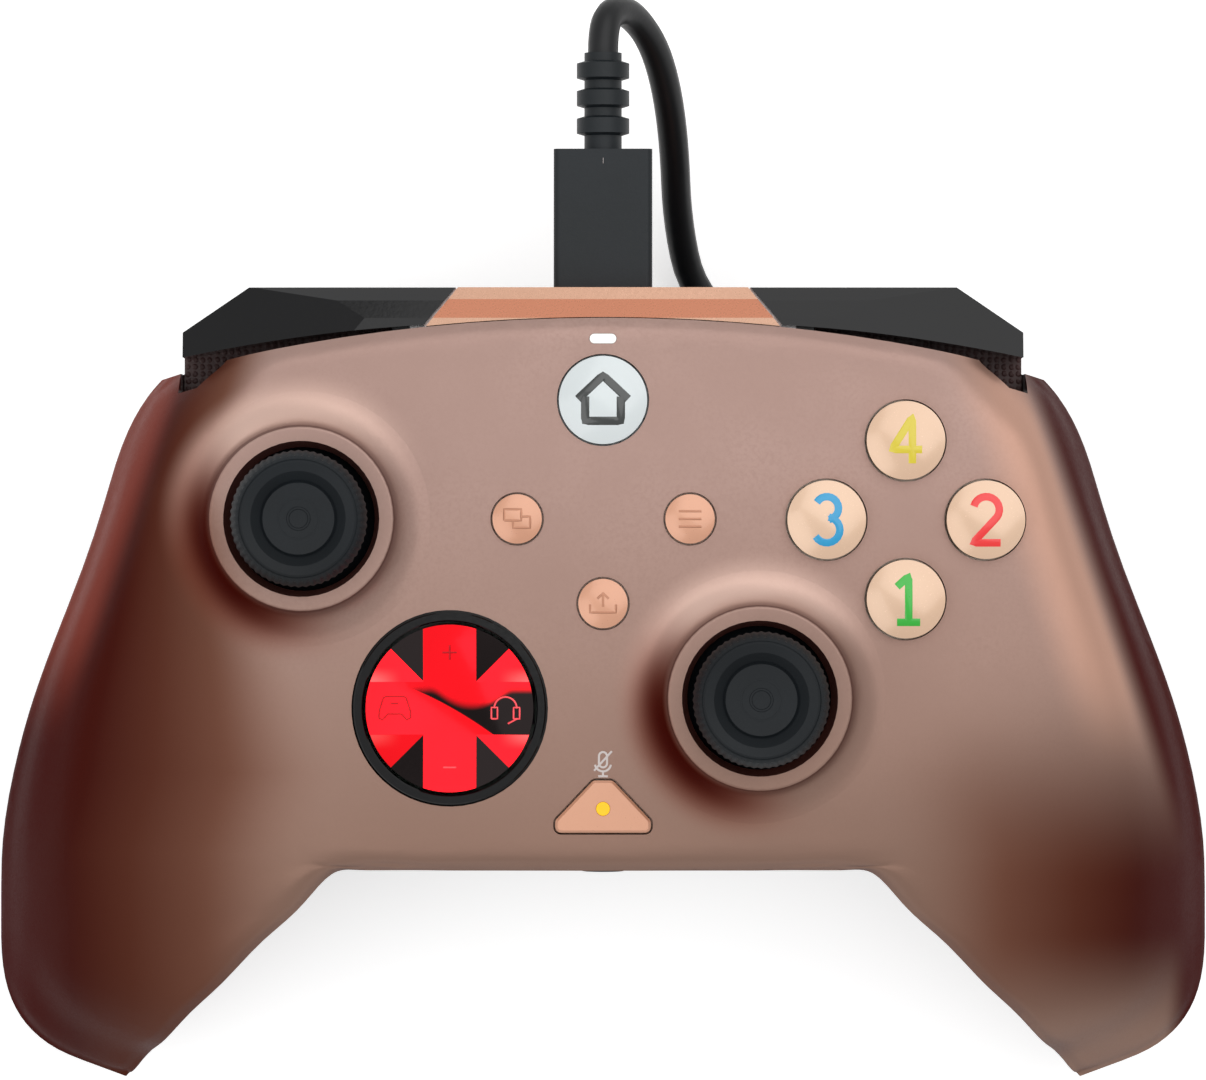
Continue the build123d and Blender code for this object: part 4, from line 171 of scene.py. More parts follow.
def ring_walk(name: str, centre: Point, profile: Sequence[Point], columns: int) -> Piece:
    """Draws a turned ring by extruding one circle along a closed profile of radius and height.

    Args:
        name: the piece's name.
        centre: the axis in the plane.
        profile: radius and height of each circle, in order. The last joins the first.
        columns: how many points each circle has.

    Returns:
        The piece, shaded smooth by angle.
    """
    bpy.ops.object.select_all(action="DESELECT")
    radius, height = profile[0]
    spot = (centre[0] * MM, centre[1] * MM, height * MM)
    bpy.ops.mesh.primitive_circle_add(vertices=columns, radius=radius * MM, fill_type="NOTHING", location=spot)
    piece = bpy.context.active_object
    piece.name = piece.data.name = name
    bpy.ops.object.mode_set(mode="EDIT")
    bpy.ops.mesh.select_all(action="SELECT")
    for next_radius, next_height in profile[1:]:
        rise = (0, 0, (next_height - height) * MM)
        bpy.ops.mesh.extrude_edges_move(TRANSFORM_OT_translate={"value": rise})
        share = next_radius / radius
        middle = (spot[0], spot[1], next_height * MM)
        bpy.ops.transform.resize(value=(share, share, 1), center_override=middle)
        radius, height = next_radius, next_height
    bpy.ops.mesh.select_all(action="DESELECT")
    bpy.ops.mesh.select_mode(type="EDGE")
    bpy.ops.mesh.select_non_manifold(extend=False)
    bpy.ops.mesh.bridge_edge_loops()
    bpy.ops.mesh.select_mode(type="VERT")
    bpy.ops.mesh.select_all(action="SELECT")
    bpy.ops.mesh.normals_make_consistent(inside=False)
    bpy.ops.object.mode_set(mode="OBJECT")
    bpy.ops.object.shade_smooth_by_angle(angle=math.radians(40))
    return in_mesh(piece)


def arc(centre: Point, radius: float, start: float, end: float, steps: int = 14) -> list[Point]:
    """Points along an arc.

    Args:
        centre: the arc's centre.
        radius: its radius.
        start: angle of the first point, in degrees from +X.
        end: angle of the last point.
        steps: how many stretches it is drawn in.

    Returns:
        The points, first to last.
    """
    angles = [math.radians(start + (end - start) * i / steps) for i in range(steps + 1)]
    return [(centre[0] + radius * math.cos(a), centre[1] + radius * math.sin(a)) for a in angles]


def frame_of(low: Point, high: Point) -> list[Point]:
    """A closed rectangle from its lowest to its highest corner."""
    return [low, (high[0], low[1]), high, (low[0], high[1]), low]


# Finishes

# How far the grain moves the roughness from its lowest to its highest
ROUGHNESS_SWING = 0.12
# Holds the painted shade's darkest colour back until the shade is nearly full
SHADE_POWER = 2.2


@dataclass(frozen=True)
class Finish:
    """A surface as it was made.

    Attributes:
        name: the material's common name and process.
        slot: the record's slot. Not used.
        colour: sRGB hex value.
        drift: sRGB hex value that the colour drifts to in soft clouds.
        roughness: microscopic roughness, 0 mirror to 1 chalk.
        metallic: 0 plastic to 1 metal.
        ior: index of refraction.
        coat: share of clear coat.
        coat_roughness: roughness of the coat.
        cloud_mm: size of the colour clouds.
        grain_mm: spacing of the fine grain.
        relief_mm: height of the grain.
        glow: light that the surface gives by itself.
        specular: level of the plastic reflection, 0.5 as the index of refraction gives it.
    """

    name: str
    slot: str
    colour: str
    drift: str
    roughness: float
    metallic: float = 0.0
    ior: float = 1.5
    coat: float = 0.0
    coat_roughness: float = 0.08
    cloud_mm: float = 18.0
    grain_mm: float = 0.5
    relief_mm: float = 0.003
    glow: float = 0.0
    specular: float = 0.5

    def noise(self, tree: Tree, place: Any, size_mm: float, detail: float = 2.0) -> Socket:
        """Soft noise with spots of a real size."""
        inputs = {"Vector": place, "Scale": 1 / (size_mm * MM), "Detail": detail}
        return add_node(tree, "TexNoise", None, inputs).outputs[0]

    def grain(self, tree: Tree, place: Any) -> Socket:
        """Height of the fine structure that the process leaves."""
        return self.noise(tree, place, self.grain_mm)

    def tint(self, tree: Tree, coordinates: Any) -> Socket:
        """Colour over the surface."""
        cloud = self.noise(tree, coordinates["Object"], self.cloud_mm, 3.0)
        return mixed(tree, ramp(tree, cloud, 0.3, 0.7), self.colour, self.drift)

    def metal(self, tree: Tree, colour: Any) -> Any:
        """How metallic a spot is."""
        return self.metallic

    def build(self) -> bpy.types.Material:
        """Makes the material."""
        material = bpy.data.materials.new(self.name)
        material.use_nodes = True
        tree = material.node_tree
        tree.nodes.clear()
        coordinates = add_node(tree, "TexCoord").outputs
        colour = self.tint(tree, coordinates)
        height = self.grain(tree, coordinates["Object"])
        bump_inputs = {"Strength": 1.0, "Distance": self.relief_mm * MM, "Height": height}
        bump = add_node(tree, "Bump", None, bump_inputs).outputs[0]
        smoothest = self.roughness - ROUGHNESS_SWING / 2
        spread = maths(tree, "MULTIPLY_ADD", height, ROUGHNESS_SWING, smoothest, clamp=True)
        shader_inputs = {
            "Base Color": colour,
            "Roughness": spread,
            "Metallic": self.metal(tree, colour),
            "Specular IOR Level": self.specular,
            "IOR": self.ior,
            "Coat Weight": self.coat,
            "Coat Roughness": self.coat_roughness,
            "Normal": bump,
        }
        if self.glow:
            shader_inputs["Emission Color"] = linear(self.colour)
            shader_inputs["Emission Strength"] = self.glow
        shader = add_node(tree, "BsdfPrincipled", None, shader_inputs)
        add_node(tree, "OutputMaterial", None, {"Surface": shader.outputs[0]})
        return material


@dataclass(frozen=True)
class SlopeShadedLacquer(Finish):
    """Tinted clear lacquer over a metallic base, with painted shade: its colour darkens where a surface turns away.

    Attributes:
        deep_shade: sRGB hex value of the painted shade on walls that stand upright.
        half_shade: sRGB hex value of a lighter painted shade, between the body's colour and the darkest one.
        flake_mm: spacing of the metal flakes, drawn coarser than the real 0.05 mm so that they show.
        upright: slopes over which the darkest painted shade comes in, from 0 flat to 1 upright.
        swallow: brightness over which the metal comes in, so that the painted shade has none.
    """

    deep_shade: str = "#3f0a04"
    half_shade: str = "#7a4030"
    flake_mm: float = 0.22
    upright: Span = (0.35, 0.97)
    swallow: Span = (0.01, 0.22)

    def grain(self, tree: Tree, place: Any) -> Socket:
        """Fine flakes under the lacquer."""
        inputs = {"Vector": place, "Scale": 1 / (self.flake_mm * MM)}
        return add_node(tree, "TexVoronoi", None, inputs).outputs["Color"]

    def metal(self, tree: Tree, colour: Any) -> Any:
        """How metallic a spot is: the painted shade swallows what the flakes would throw back."""
        bright = add_node(tree, "RGBToBW", None, {0: colour}).outputs[0]
        return maths(tree, "MULTIPLY", ramp(tree, bright, *self.swallow), self.metallic)

    def body(self, tree: Tree, coordinates: Any) -> Socket:
        """Colour of the flat parts, with soft clouds and flakes."""
        grain = self.noise(tree, coordinates["Object"], self.flake_mm * 2)
        return mixed(tree, ramp(tree, grain, 0.35, 0.75), super().tint(tree, coordinates), self.drift)

    def slope(self, tree: Tree, coordinates: Any) -> tuple[Socket, Socket]:
        """How far a spot turns from upwards, and how far it turns away from the player."""
        parts = add_node(tree, "SeparateXYZ", None, {0: coordinates["Normal"]}).outputs
        return maths(tree, "SUBTRACT", 1.0, parts[2], clamp=True), parts[1]

    def tint(self, tree: Tree, coordinates: Any) -> Socket:
        """Colour by the surface's own slope, with painted shade where it turns away."""
        slope = self.slope(tree, coordinates)[0]
        # painted shade: the colour darkens on walls that turn away from upwards
        return mixed(tree, ramp(tree, slope, *self.upright), self.body(tree, coordinates), self.deep_shade)


@dataclass(frozen=True)
class BridgeLacquer(SlopeShadedLacquer):
    """The lacquer on the bridge: its gentle slopes away from the player take some painted shade too.

    Attributes:
        away: turn away from the player over which that painted shade comes in.
        gentle: slopes over which it comes in.
    """

    away: Span = (-0.1, 0.6)
    gentle: Span = (0.01, 0.25)

    def tint(self, tree: Tree, coordinates: Any) -> Socket:
        """Colour by the surface's own slope and direction, with painted shade."""
        slope, away = self.slope(tree, coordinates)
        # painted shade on gentle slopes that face away from the player
        soft = maths(tree, "MULTIPLY", ramp(tree, away, *self.away), ramp(tree, slope, *self.gentle))
        body = mixed(tree, soft, self.body(tree, coordinates), self.half_shade)
        # painted shade, darkest on upright walls
        deep_shade = maths(tree, "MAXIMUM", ramp(tree, slope, *self.upright), maths(tree, "POWER", soft, SHADE_POWER))
        return mixed(tree, deep_shade, body, self.deep_shade)


@dataclass(frozen=True)
class ShadedFaceLacquer(SlopeShadedLacquer):
    """The lacquer on the face, darker towards the player, with painted shade in a broad band over the grips.

    The grip shade, crescents, band and line are painted shade and painted highlights, laid by their place in
    millimetres, because the photograph doesn't tell the paint there from its own light. A span is where a share
    starts and where it is full.

    Attributes:
        near: sRGB hex value of the flat nearest the player.
        gleam: sRGB hex value of the painted highlight, a light band on the right-hand shoulder.
        glint: sRGB hex value of the painted highlight, a lighter line along the left-hand rim.
        crest: sRGB hex value of the painted highlight on the lit slope of each stick collar.
        collars: middles of the stick collars.
        grip_shade: share of the way in from the rim and the sRGB hex value of the painted shade there.
        rim_line: the rim beside a grip: shift of Y, slope, and half width at no shifted Y.
        rim_most: half width that the rim never passes.
        foot: distance from a collar's middle over which a painted crescent comes in from outside.
        wall: distance over which it comes in from the collar's wall.
        halves: X over which the right-hand half comes in.
        nearer: Y over which the near colour comes in.
        widening: Y over which the painted grip shade widens.
        grip_shade_width: width of the painted grip shade on the shoulder, and what it gains on the grip.
        grip: Y over which the right-hand grip's painted shade comes in from its shoulder.
        tip: Y over which it comes in from the grip's tip.
        band_rim: depth over which the painted highlight band comes in from the rim.
        band_inner: depth over which it comes in from inside.
        band_y: Y over which it comes in.
        edge: depth over which the rim itself darkens with painted shade.
        grip_shade_end: share of the painted grip shade's width over which that shade comes in.
        line_depth: depth over which the left-hand painted highlight line comes in.
        line_y: Y over which it comes in.
        line_x: X over which it comes in.
        strength: share that the painted highlight band and line reach.
    """

    near: str = "#866a5d"
    gleam: str = "#bd9380"
    glint: str = "#84382b"
    crest: str = "#cfb0a3"
    collars: tuple[Point, ...] = ((-37.1, 21.4), (19.3, -0.7))
    grip_shade: tuple[tuple[float, str], ...] = (
        (0.0, "#400400"),
        (0.2, "#41140d"),
        (0.4, "#552c20"),
        (0.65, "#6c4638"),
        (0.9, "#7c594b"),
    )
    rim_line: Place = (13.7, -0.34, 73.0)
    rim_most: float = 75.2
    foot: Span = (18.5, 12.5)
    wall: Span = (10.9, 12.1)
    halves: Span = (-5.0, 5.0)
    nearer: Span = (30.0, -22.0)
    widening: Span = (25.0, -10.0)
    grip_shade_width: tuple[float, float] = (14.0, 26.0)
    grip: Span = (0.0, -25.0)
    tip: Span = (-46.0, -30.0)
    band_rim: Span = (1.5, 4.0)
    band_inner: Span = (13.0, 6.0)
    band_y: Span = (-12.0, 4.0)
    edge: Span = (3.5, 0.2)
    grip_shade_end: Span = (1.0, 0.6)
    line_depth: Span = (4.0, 0.5)
    line_y: Span = (-8.0, 10.0)
    line_x: Span = (0.0, -20.0)
    strength: float = 0.8

    def place(self, tree: Tree, coordinates: Any) -> tuple[Socket, Socket]:
        """X and Y on the face in millimetres."""
        inputs = {0: coordinates["Object"], 1: (1 / MM,) * 3}
        scaled = add_node(tree, "VectorMath", {"operation": "MULTIPLY"}, inputs).outputs[0]
        parts = add_node(tree, "SeparateXYZ", None, {0: scaled}).outputs
        return parts[0], parts[1]

    def depth(self, tree: Tree, x: Any, y: Any) -> Socket:
        """How far in from the side rim a spot lies, in millimetres."""
        shift, slope, half = self.rim_line
        rim = maths(tree, "MULTIPLY_ADD", maths(tree, "ADD", y, shift), slope, half)
        return maths(tree, "SUBTRACT", maths(tree, "MINIMUM", rim, self.rim_most), maths(tree, "ABSOLUTE", x))

    def lobe(self, tree: Tree, x: Any, y: Any, degrees: float, low: float) -> Socket:
        """Share of a soft painted crescent round the foot of each stick collar, used for the painted highlight and
        for the painted shadow.

        Args:
            tree: the node tree that gets the nodes.
            x: output that gives X on the face.
            y: output that gives Y on the face.
            degrees: where the crescent's middle lies, from +X.
            low: cosine of the angle at which it has faded out.

        Returns:
            The share from 0 to 1.
        """
        turn = math.radians(degrees)
        shares = []
        for across, along in self.collars:
            off_x, off_y = maths(tree, "SUBTRACT", x, across), maths(tree, "SUBTRACT", y, along)
            square = maths(tree, "MULTIPLY", off_x, off_x)
            reach = maths(tree, "SQRT", maths(tree, "MULTIPLY_ADD", off_y, off_y, square))
            towards = maths(tree, "MULTIPLY", off_x, math.cos(turn))
            towards = maths(tree, "MULTIPLY_ADD", off_y, math.sin(turn), towards)
            ring = maths(tree, "MULTIPLY", ramp(tree, reach, *self.foot), ramp(tree, reach, *self.wall))
            facing = ramp(tree, maths(tree, "DIVIDE", towards, reach), low, 1.0)
            shares.append(maths(tree, "MULTIPLY", ring, facing))
        return maths(tree, "MAXIMUM", *shares)

    def body(self, tree: Tree, coordinates: Any) -> Socket:
        """Colour of the flat parts by their place on the face, with painted grip shade, a painted highlight band, a
        darkened rim and painted collar crescents.
        """
        x, y = self.place(tree, coordinates)
        depth = self.depth(tree, x, y)
        narrow, gain = self.grip_shade_width
        width = maths(tree, "MULTIPLY_ADD", ramp(tree, y, *self.widening, smooth=False), gain, narrow)
        share = maths(tree, "DIVIDE", depth, width, clamp=True)
        right = ramp(tree, x, *self.halves)
        low = maths(tree, "MULTIPLY", ramp(tree, y, *self.grip), ramp(tree, y, *self.tip))
        side = maths(tree, "MAXIMUM", maths(tree, "SUBTRACT", 1.0, right), low)
        stops = add_node(tree, "ValToRGB", None, {0: share})
        elements = stops.color_ramp.elements
        while len(elements) < len(self.grip_shade):
            elements.new(1.0)
        for element, (position, colour) in zip(elements, self.grip_shade):
            element.position, element.color = position, linear(colour)
        base = mixed(tree, ramp(tree, y, *self.nearer, smooth=False), super().body(tree, coordinates), self.near)
        # painted highlight band on the right-hand shoulder
        band = maths(tree, "MULTIPLY", ramp(tree, depth, *self.band_rim), ramp(tree, depth, *self.band_inner))
        band = maths(tree, "MULTIPLY", band, maths(tree, "MULTIPLY", right, ramp(tree, y, *self.band_y)))
        base = mixed(tree, maths(tree, "MULTIPLY", band, self.strength), base, self.gleam)
        # painted shade darkening the rim itself
        base = mixed(tree, ramp(tree, depth, *self.edge), base, self.grip_shade[0][1])
        # painted shade fading in across the grips
        grip_shaded = maths(tree, "MULTIPLY", side, ramp(tree, share, *self.grip_shade_end))
        base = mixed(tree, grip_shaded, base, stops.outputs[0])
        # painted highlight crescent on the upper slope of each collar
        base = mixed(tree, self.lobe(tree, x, y, 110.0, -0.1), base, self.crest)
        # painted shadow crescent at the lower left of each collar's foot
        dark = self.lobe(tree, x, y, 210.0, 0.0)
        base = mixed(tree, dark, base, self.half_shade)
        return mixed(tree, maths(tree, "POWER", dark, SHADE_POWER), base, self.deep_shade)

    def tint(self, tree: Tree, coordinates: Any) -> Socket:
        """The whole colour, with the painted highlight line along the left-hand rim."""
        x, y = self.place(tree, coordinates)
        # painted highlight line along the left-hand rim
        line = ramp(tree, self.depth(tree, x, y), *self.line_depth)
        line = maths(tree, "MULTIPLY", line, ramp(tree, y, *self.line_y))
        line = maths(tree, "MULTIPLY", line, ramp(tree, x, *self.line_x))
        return mixed(tree, maths(tree, "MULTIPLY", line, self.strength), super().tint(tree, coordinates), self.glint)


@dataclass(frozen=True)
class DrawnSteel(Finish):
    """Metal with long fine marks along one direction.

    Attributes:
        streak: scale of the grain along each axis. The marks run along the smallest.
    """

    streak: tuple[float, float, float] = (0.08, 1.0, 1.0)

    def grain(self, tree: Tree, place: Any) -> Socket:
        """Noise stretched along the marks."""
        stretched = add_node(tree, "Mapping", None, {"Vector": place, "Scale": self.streak}).outputs[0]
        return self.noise(tree, stretched, self.grain_mm)


@dataclass(frozen=True)
class DottedGrip(Finish):
    """Moulded grip with rows of small raised dots.

    Attributes:
        dot_mm: spacing of the dots.
    """

    dot_mm: float = 0.9

    def grain(self, tree: Tree, place: Any) -> Socket:
        """Round dots in an even field."""
        inputs = {"Vector": place, "Scale": 1 / (self.dot_mm * MM), "Randomness": 0.15}
        distance = add_node(tree, "TexVoronoi", None, inputs).outputs["Distance"]
        return ramp(tree, distance, 0.45, 0.2)


@dataclass(frozen=True)
class MirrorPad(Finish):
    """Red mirror plating with painted reflections: its facets beside the upright arms and one curved sweep are
    painted black, and the facets' rims carry a painted highlight.

    Attributes:
        centre: middle of the pad.
        arm: half the width of its arms.
        black: sRGB hex value of the painted black reflections.
        gleam: sRGB hex value of the painted highlight on the facets' bright rims.
        floor_curve: the painted reflection sweep's lower edge over X: height at the middle, slope and bend.
        bowl_curve: its upper edge over X: lowest height, where that is, and bend.
        bowl_top: height that the upper edge never passes.
    """

    centre: Point = (-18.95, -2.0)
    arm: float = 3.25
    black: str = "#0a0000"
    gleam: str = "#ff4a4a"
    floor_curve: Place = (0.1, -0.555, -0.015)
    bowl_curve: Place = (0.55, 2.7, 0.1)
    bowl_top: float = 2.6

    def tint(self, tree: Tree, coordinates: Any) -> Socket:
        """Colour by the place on the pad, with painted black reflections and painted highlights."""
        inputs = {0: coordinates["Object"], 1: (1 / MM,) * 3, 2: (-self.centre[0], -self.centre[1], 0)}
        place = add_node(tree, "VectorMath", {"operation": "MULTIPLY_ADD"}, inputs).outputs[0]
        parts = add_node(tree, "SeparateXYZ", None, {0: place}).outputs
        x, y = parts[0], parts[1]
        side = maths(tree, "SUBTRACT", maths(tree, "ABSOLUTE", x), self.arm)
        height = maths(tree, "SUBTRACT", maths(tree, "ABSOLUTE", y), self.arm)
        corner = maths(tree, "MULTIPLY", ramp(tree, side, 0, 0.05), ramp(tree, height, 0, 0.05))
        steep = ramp(tree, maths(tree, "SUBTRACT", height, side), 0, 0.08)
        facet = maths(tree, "MULTIPLY", corner, steep)
        square = maths(tree, "MULTIPLY", x, x)
        middle, slope, bend = self.floor_curve
        floor = maths(tree, "MULTIPLY_ADD", x, slope, maths(tree, "MULTIPLY_ADD", square, bend, middle))
        lowest, across, bend = self.bowl_curve
        shifted = maths(tree, "SUBTRACT", x, across)
        bowl = maths(tree, "MULTIPLY_ADD", maths(tree, "MULTIPLY", shifted, shifted), bend, lowest)
        bowl = maths(tree, "SMOOTH_MIN", bowl, self.bowl_top, 1.0)
        above = ramp(tree, maths(tree, "SUBTRACT", y, floor), 0, 0.15)
        below = ramp(tree, maths(tree, "SUBTRACT", bowl, y), -0.35, 0.9)
        sweep = maths(tree, "MULTIPLY", above, below)
        sweep = maths(tree, "MULTIPLY", sweep, maths(tree, "SUBTRACT", 1.0, corner))
        colour = super().tint(tree, coordinates)
        # painted highlight on the facets' rims
        lit = maths(tree, "MULTIPLY", corner, ramp(tree, side, 2.5, 6.5))
        colour = mixed(tree, maths(tree, "MULTIPLY", lit, ramp(tree, height, 2.0, 0.0)), colour, self.gleam)
        # painted black reflections on the facets beside the upright arms and on the curved sweep
        return mixed(tree, maths(tree, "MAXIMUM", facet, sweep), colour, self.black)


class Look(Enum):
    """Every finish of the gamepad."""

    # Satin lacquer with metal flake: pink copper on the flat, with painted shade in wine red where it turns away and
    # on the grips, and painted highlights. Its plastic reflection is held far below the usual 0.5, matched to the
    # object, so that the painted wine red doesn't grey over
    FACE = ShadedFaceLacquer("copper_lacquer", "copper_face", "#a2877e", "#9c8178", 0.42, 0.45, specular=0.03)
    # The same lacquer with more gloss on the bridge, its painted shade light enough there to stay copper on its walls
    TRIM = BridgeLacquer(
        "gloss_copper_lacquer",
        "copper_trim",
        "#be957d",
        "#b89078",
        0.3,
        0.4,
        deep_shade="#ca8364",
        half_shade="#c68f74",
        specular=0.4,
    )
    # Moulded ABS with a pearl coat: pale and warm, with a sharp small highlight
    KEY = Finish(
        "pearl_abs", "copper_button", "#dcb99c", "#d5b092", 0.25, 0.15, coat=0.5, grain_mm=0.15, relief_mm=0.001
    )
    # The smaller keys are the same ABS in a deeper copper
    SMALL_KEY = Finish("copper_abs", "copper_button", "#d0987a", "#c88e70", 0.3, 0.2, coat=0.4, grain_mm=0.15)
    # PIANO, RUBBER, CORD and PLUG have an index of refraction below their material's usual 1.4 to 1.53, matched
    # to the object, which stays near-black under a white background
    # Polished ABS: near-black with a clear, hard reflection
    PIANO = Finish("piano_black_abs", "black_gloss", "#050506", "#070709", 0.1, ior=1.33)
    # Spark-eroded ABS with dots: it spreads the light, so it looks soft
    GRIP = DottedGrip("dotted_grip_abs", "black_grip", "#33100c", "#2a0d0a", 0.6, relief_mm=0.08)
    # Vacuum-plated plastic under red lacquer: a mirror with depth of colour, with painted black reflections and
    # painted highlights
    MIRROR = MirrorPad(
        "red_plated_plastic", "red_mirror", "#ff0418", "#f50012", 0.12, 0.85, coat=0.1, relief_mm=0.0005
    )
    # Silicone rubber: dull, with a faint dusty sheen
    RUBBER = Finish(
        "stick_rubber", "black_rubber", "#0b0f12", "#11161a", 0.55, ior=1.3, grain_mm=0.25, relief_mm=0.01
    )
    # Extruded soft PVC: smooth and satin
    CORD = Finish("cord_pvc", "cord_black", "#0a0b0d", "#0f1012", 0.42, ior=1.35, grain_mm=0.6, relief_mm=0.006)
    # Moulded TPE of the plugs: fine spark grain
    PLUG = Finish("plug_tpe", "cord_black", "#161b1f", "#12171a", 0.45, ior=1.33, grain_mm=0.3, relief_mm=0.012)
    # Plain moulded ABS inside
    INNER = Finish("inner_abs", "inner_black", "#1e1e20", "#252527", 0.5, grain_mm=0.3, relief_mm=0.01)
    # Nylon of the small switches
    NYLON = Finish("switch_nylon", "inner_grey", "#85888b", "#909396", 0.5, grain_mm=0.3, relief_mm=0.006)
    # Glass-fibre board under green solder mask: a glossy film over a faint weave
    BOARD = Finish("solder_mask", "board_green", "#1d4a31", "#215338", 0.35, coat=0.3, grain_mm=0.4, relief_mm=0.006)
    # Moulded epoxy of the chips
    CHIP = Finish("chip_epoxy", "chip_black", "#18181a", "#202022", 0.6, grain_mm=0.2, relief_mm=0.006)
    # Drawn steel: long fine marks that stretch the highlight
    STEEL = DrawnSteel("drawn_steel", "bright_steel", "#b4b8bc", "#a6aaae", 0.3, 1.0, grain_mm=0.2, relief_mm=0.003)
    # Nickel plate: bright and clean
    NICKEL = Finish("nickel_plate", "plated_tip", "#c6c9cc", "#bcbfc3", 0.18, 1.0, grain_mm=0.3, relief_mm=0.001)
    # Silicone of the button mat
    SILICONE = Finish("mat_silicone", "mat_grey", "#97999b", "#8d8f92", 0.6, ior=1.41, grain_mm=0.4, relief_mm=0.008)
    # Clear-coated milky acrylic: pale and cool, with a soft edge to its highlight
    HOME = Finish("milky_acrylic", "home_white", "#dde4e5", "#d7dedf", 0.2, ior=1.45, coat=0.2, relief_mm=0.0005)
    # Lit light guides
    WHITE_LIGHT = Finish(
        "white_light_guide", "lens_clear", "#f4f0ea", "#f0ece6", 0.2, ior=1.49, relief_mm=0.0005, glow=0.2
    )
    AMBER_LIGHT = Finish(
        "amber_light_guide", "lens_clear", "#ffc400", "#ffbe00", 0.2, ior=1.49, relief_mm=0.0005, glow=0.15
    )
    # Die-cast aluminium of the motors' cans
    CAN = DrawnSteel("motor_can", "motor_metal", "#a3a6a9", "#999ca0", 0.38, 1.0, grain_mm=0.3, relief_mm=0.004)
    # Sintered tungsten alloy of the weights
    WEIGHT = Finish("sintered_metal", "weight_metal", "#6f7173", "#7a7c7e", 0.5, 0.9, grain_mm=0.25, relief_mm=0.01)
    # Pad-printed ink: thin, a little raised, satin
    YELLOW = Finish("yellow_ink", "copper_button", "#dcc826", "#d6c222", 0.3, coat=0.4, relief_mm=0.0005)
    BLUE = Finish("blue_ink", "copper_button", "#0098cc", "#0092c4", 0.3, coat=0.4, relief_mm=0.0005)
    RED = Finish("red_ink", "copper_button", "#ee2222", "#e81c1c", 0.3, coat=0.4, relief_mm=0.0005)
    GREEN = Finish("green_ink", "copper_button", "#10b020", "#0ca81c", 0.3, coat=0.4, relief_mm=0.0005)
    DARK_INK = Finish("dark_ink", "chip_black", "#141a18", "#1a201e", 0.25, coat=0.5, relief_mm=0.0005)
    COPPER_INK = Finish("copper_ink", "copper_button", "#b27c60", "#ab765b", 0.3, 0.3, relief_mm=0.0005)
    PALE_INK = Finish("pale_ink", "home_white", "#c9bfbc", "#c3b9b6", 0.4, relief_mm=0.0005)
    # Etched lines in the pad's plating
    ETCHED = Finish("etched_plating", "red_mirror", "#a8000e", "#b00010", 0.35, 0.6, relief_mm=0.001)
    ETCHED_LIGHT = Finish("light_etched_plating", "red_mirror", "#ff5058", "#ff4850", 0.35, 0.3, relief_mm=0.001)

    def dress(self, *pieces: Piece) -> None:
        """Gives pieces this finish.

        Args:
            pieces: CAD nodes or new pieces.
        """
        material = bpy.data.materials.get(self.value.name) or self.value.build()
        for piece in pieces:
            if not piece.material_slots:
                piece.data.materials.append(material)
            for slot in piece.material_slots:
                slot.material = material

    def finish(self, piece: Piece, body: str) -> Piece:
        """Dresses a new piece and lets it ride on a body.

        Args:
            piece: the new piece.
            body: the CAD body that carries it.

        Returns:
            The piece.
        """
        self.dress(piece)
        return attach(piece, body)


# Signs


# Longest stretch of a stroke, so that it can follow a curved surface
STROKE_STEP = 0.4
# Height over the floor from which a stroke is dropped
DROP_START = 200.0


@dataclass(frozen=True)
class Sign:
    """A small sign of strokes that lies on a CAD node.

    Attributes:
        name: the piece's name.
        node: the CAD node that it lies on.
        body: the body that carries it.
        look: its finish.
        centre: its middle.
        strokes: its lines.
        width: how wide a stroke is.
        rise: how far a stroke stands above the surface.
    """

    name: str
    node: str
    body: str
    look: Look
    centre: Point
    strokes: Sequence[Stroke]
    width: float
    rise: float = 0.06

    def build(self) -> Piece:
        """Draws the strokes flat, turns them into a mesh and lays that on the node."""
        curve = bpy.data.curves.new(self.name, "CURVE")
        curve.dimensions = "3D"
        curve.bevel_depth = self.width / 2 * MM
        curve.bevel_resolution = 2
        curve.use_fill_caps = True
        for stroke in self.strokes:
            spline = curve.splines.new("POLY")
            dense = self.dense(stroke)
            spline.points.add(len(dense) - 1)
            for point, (x, y) in zip(spline.points, dense):
                point.co = ((self.centre[0] + x) * MM, (self.centre[1] + y) * MM, 0, 1)
        sign = bpy.data.objects.new(self.name, curve)
        bpy.context.collection.objects.link(sign)
        pick(sign)
        bpy.ops.object.convert(target="MESH")
        sign = bpy.context.active_object
        self.lay(sign)
        bpy.ops.object.shade_smooth_by_angle(angle=math.radians(50))
        return self.look.finish(sign, self.body)

    def dense(self, stroke: Stroke) -> list[Point]:
        """The stroke's points with more between them, so that it can follow a curved surface."""
        points = [stroke[0]]
        for (x0, y0), (x1, y1) in zip(stroke, stroke[1:]):
            parts = max(1, round(math.hypot(x1 - x0, y1 - y0) / STROKE_STEP))
            points += [(x0 + (x1 - x0) * i / parts, y0 + (y1 - y0) * i / parts) for i in range(1, parts + 1)]
        return points

    def lay(self, sign: Piece) -> None:
        """Flattens the strokes and drops them onto the node, keeping the last height over a hole in it."""
        node, down, start = cad(self.node), Vector((0, 0, -1)), DROP_START * MM
        base = node.ray_cast(Vector((self.centre[0] * MM, self.centre[1] * MM, start)), down)[1].z
        for vertex in sign.data.vertices:
            hit, place, _, _ = node.ray_cast(Vector((vertex.co.x, vertex.co.y, start)), down)
            share = vertex.co.z / (self.width / 2 * MM)
            base = place.z if hit and abs(place.z - base) < MM else base
            vertex.co.z = base + share * self.rise * MM


# Cable


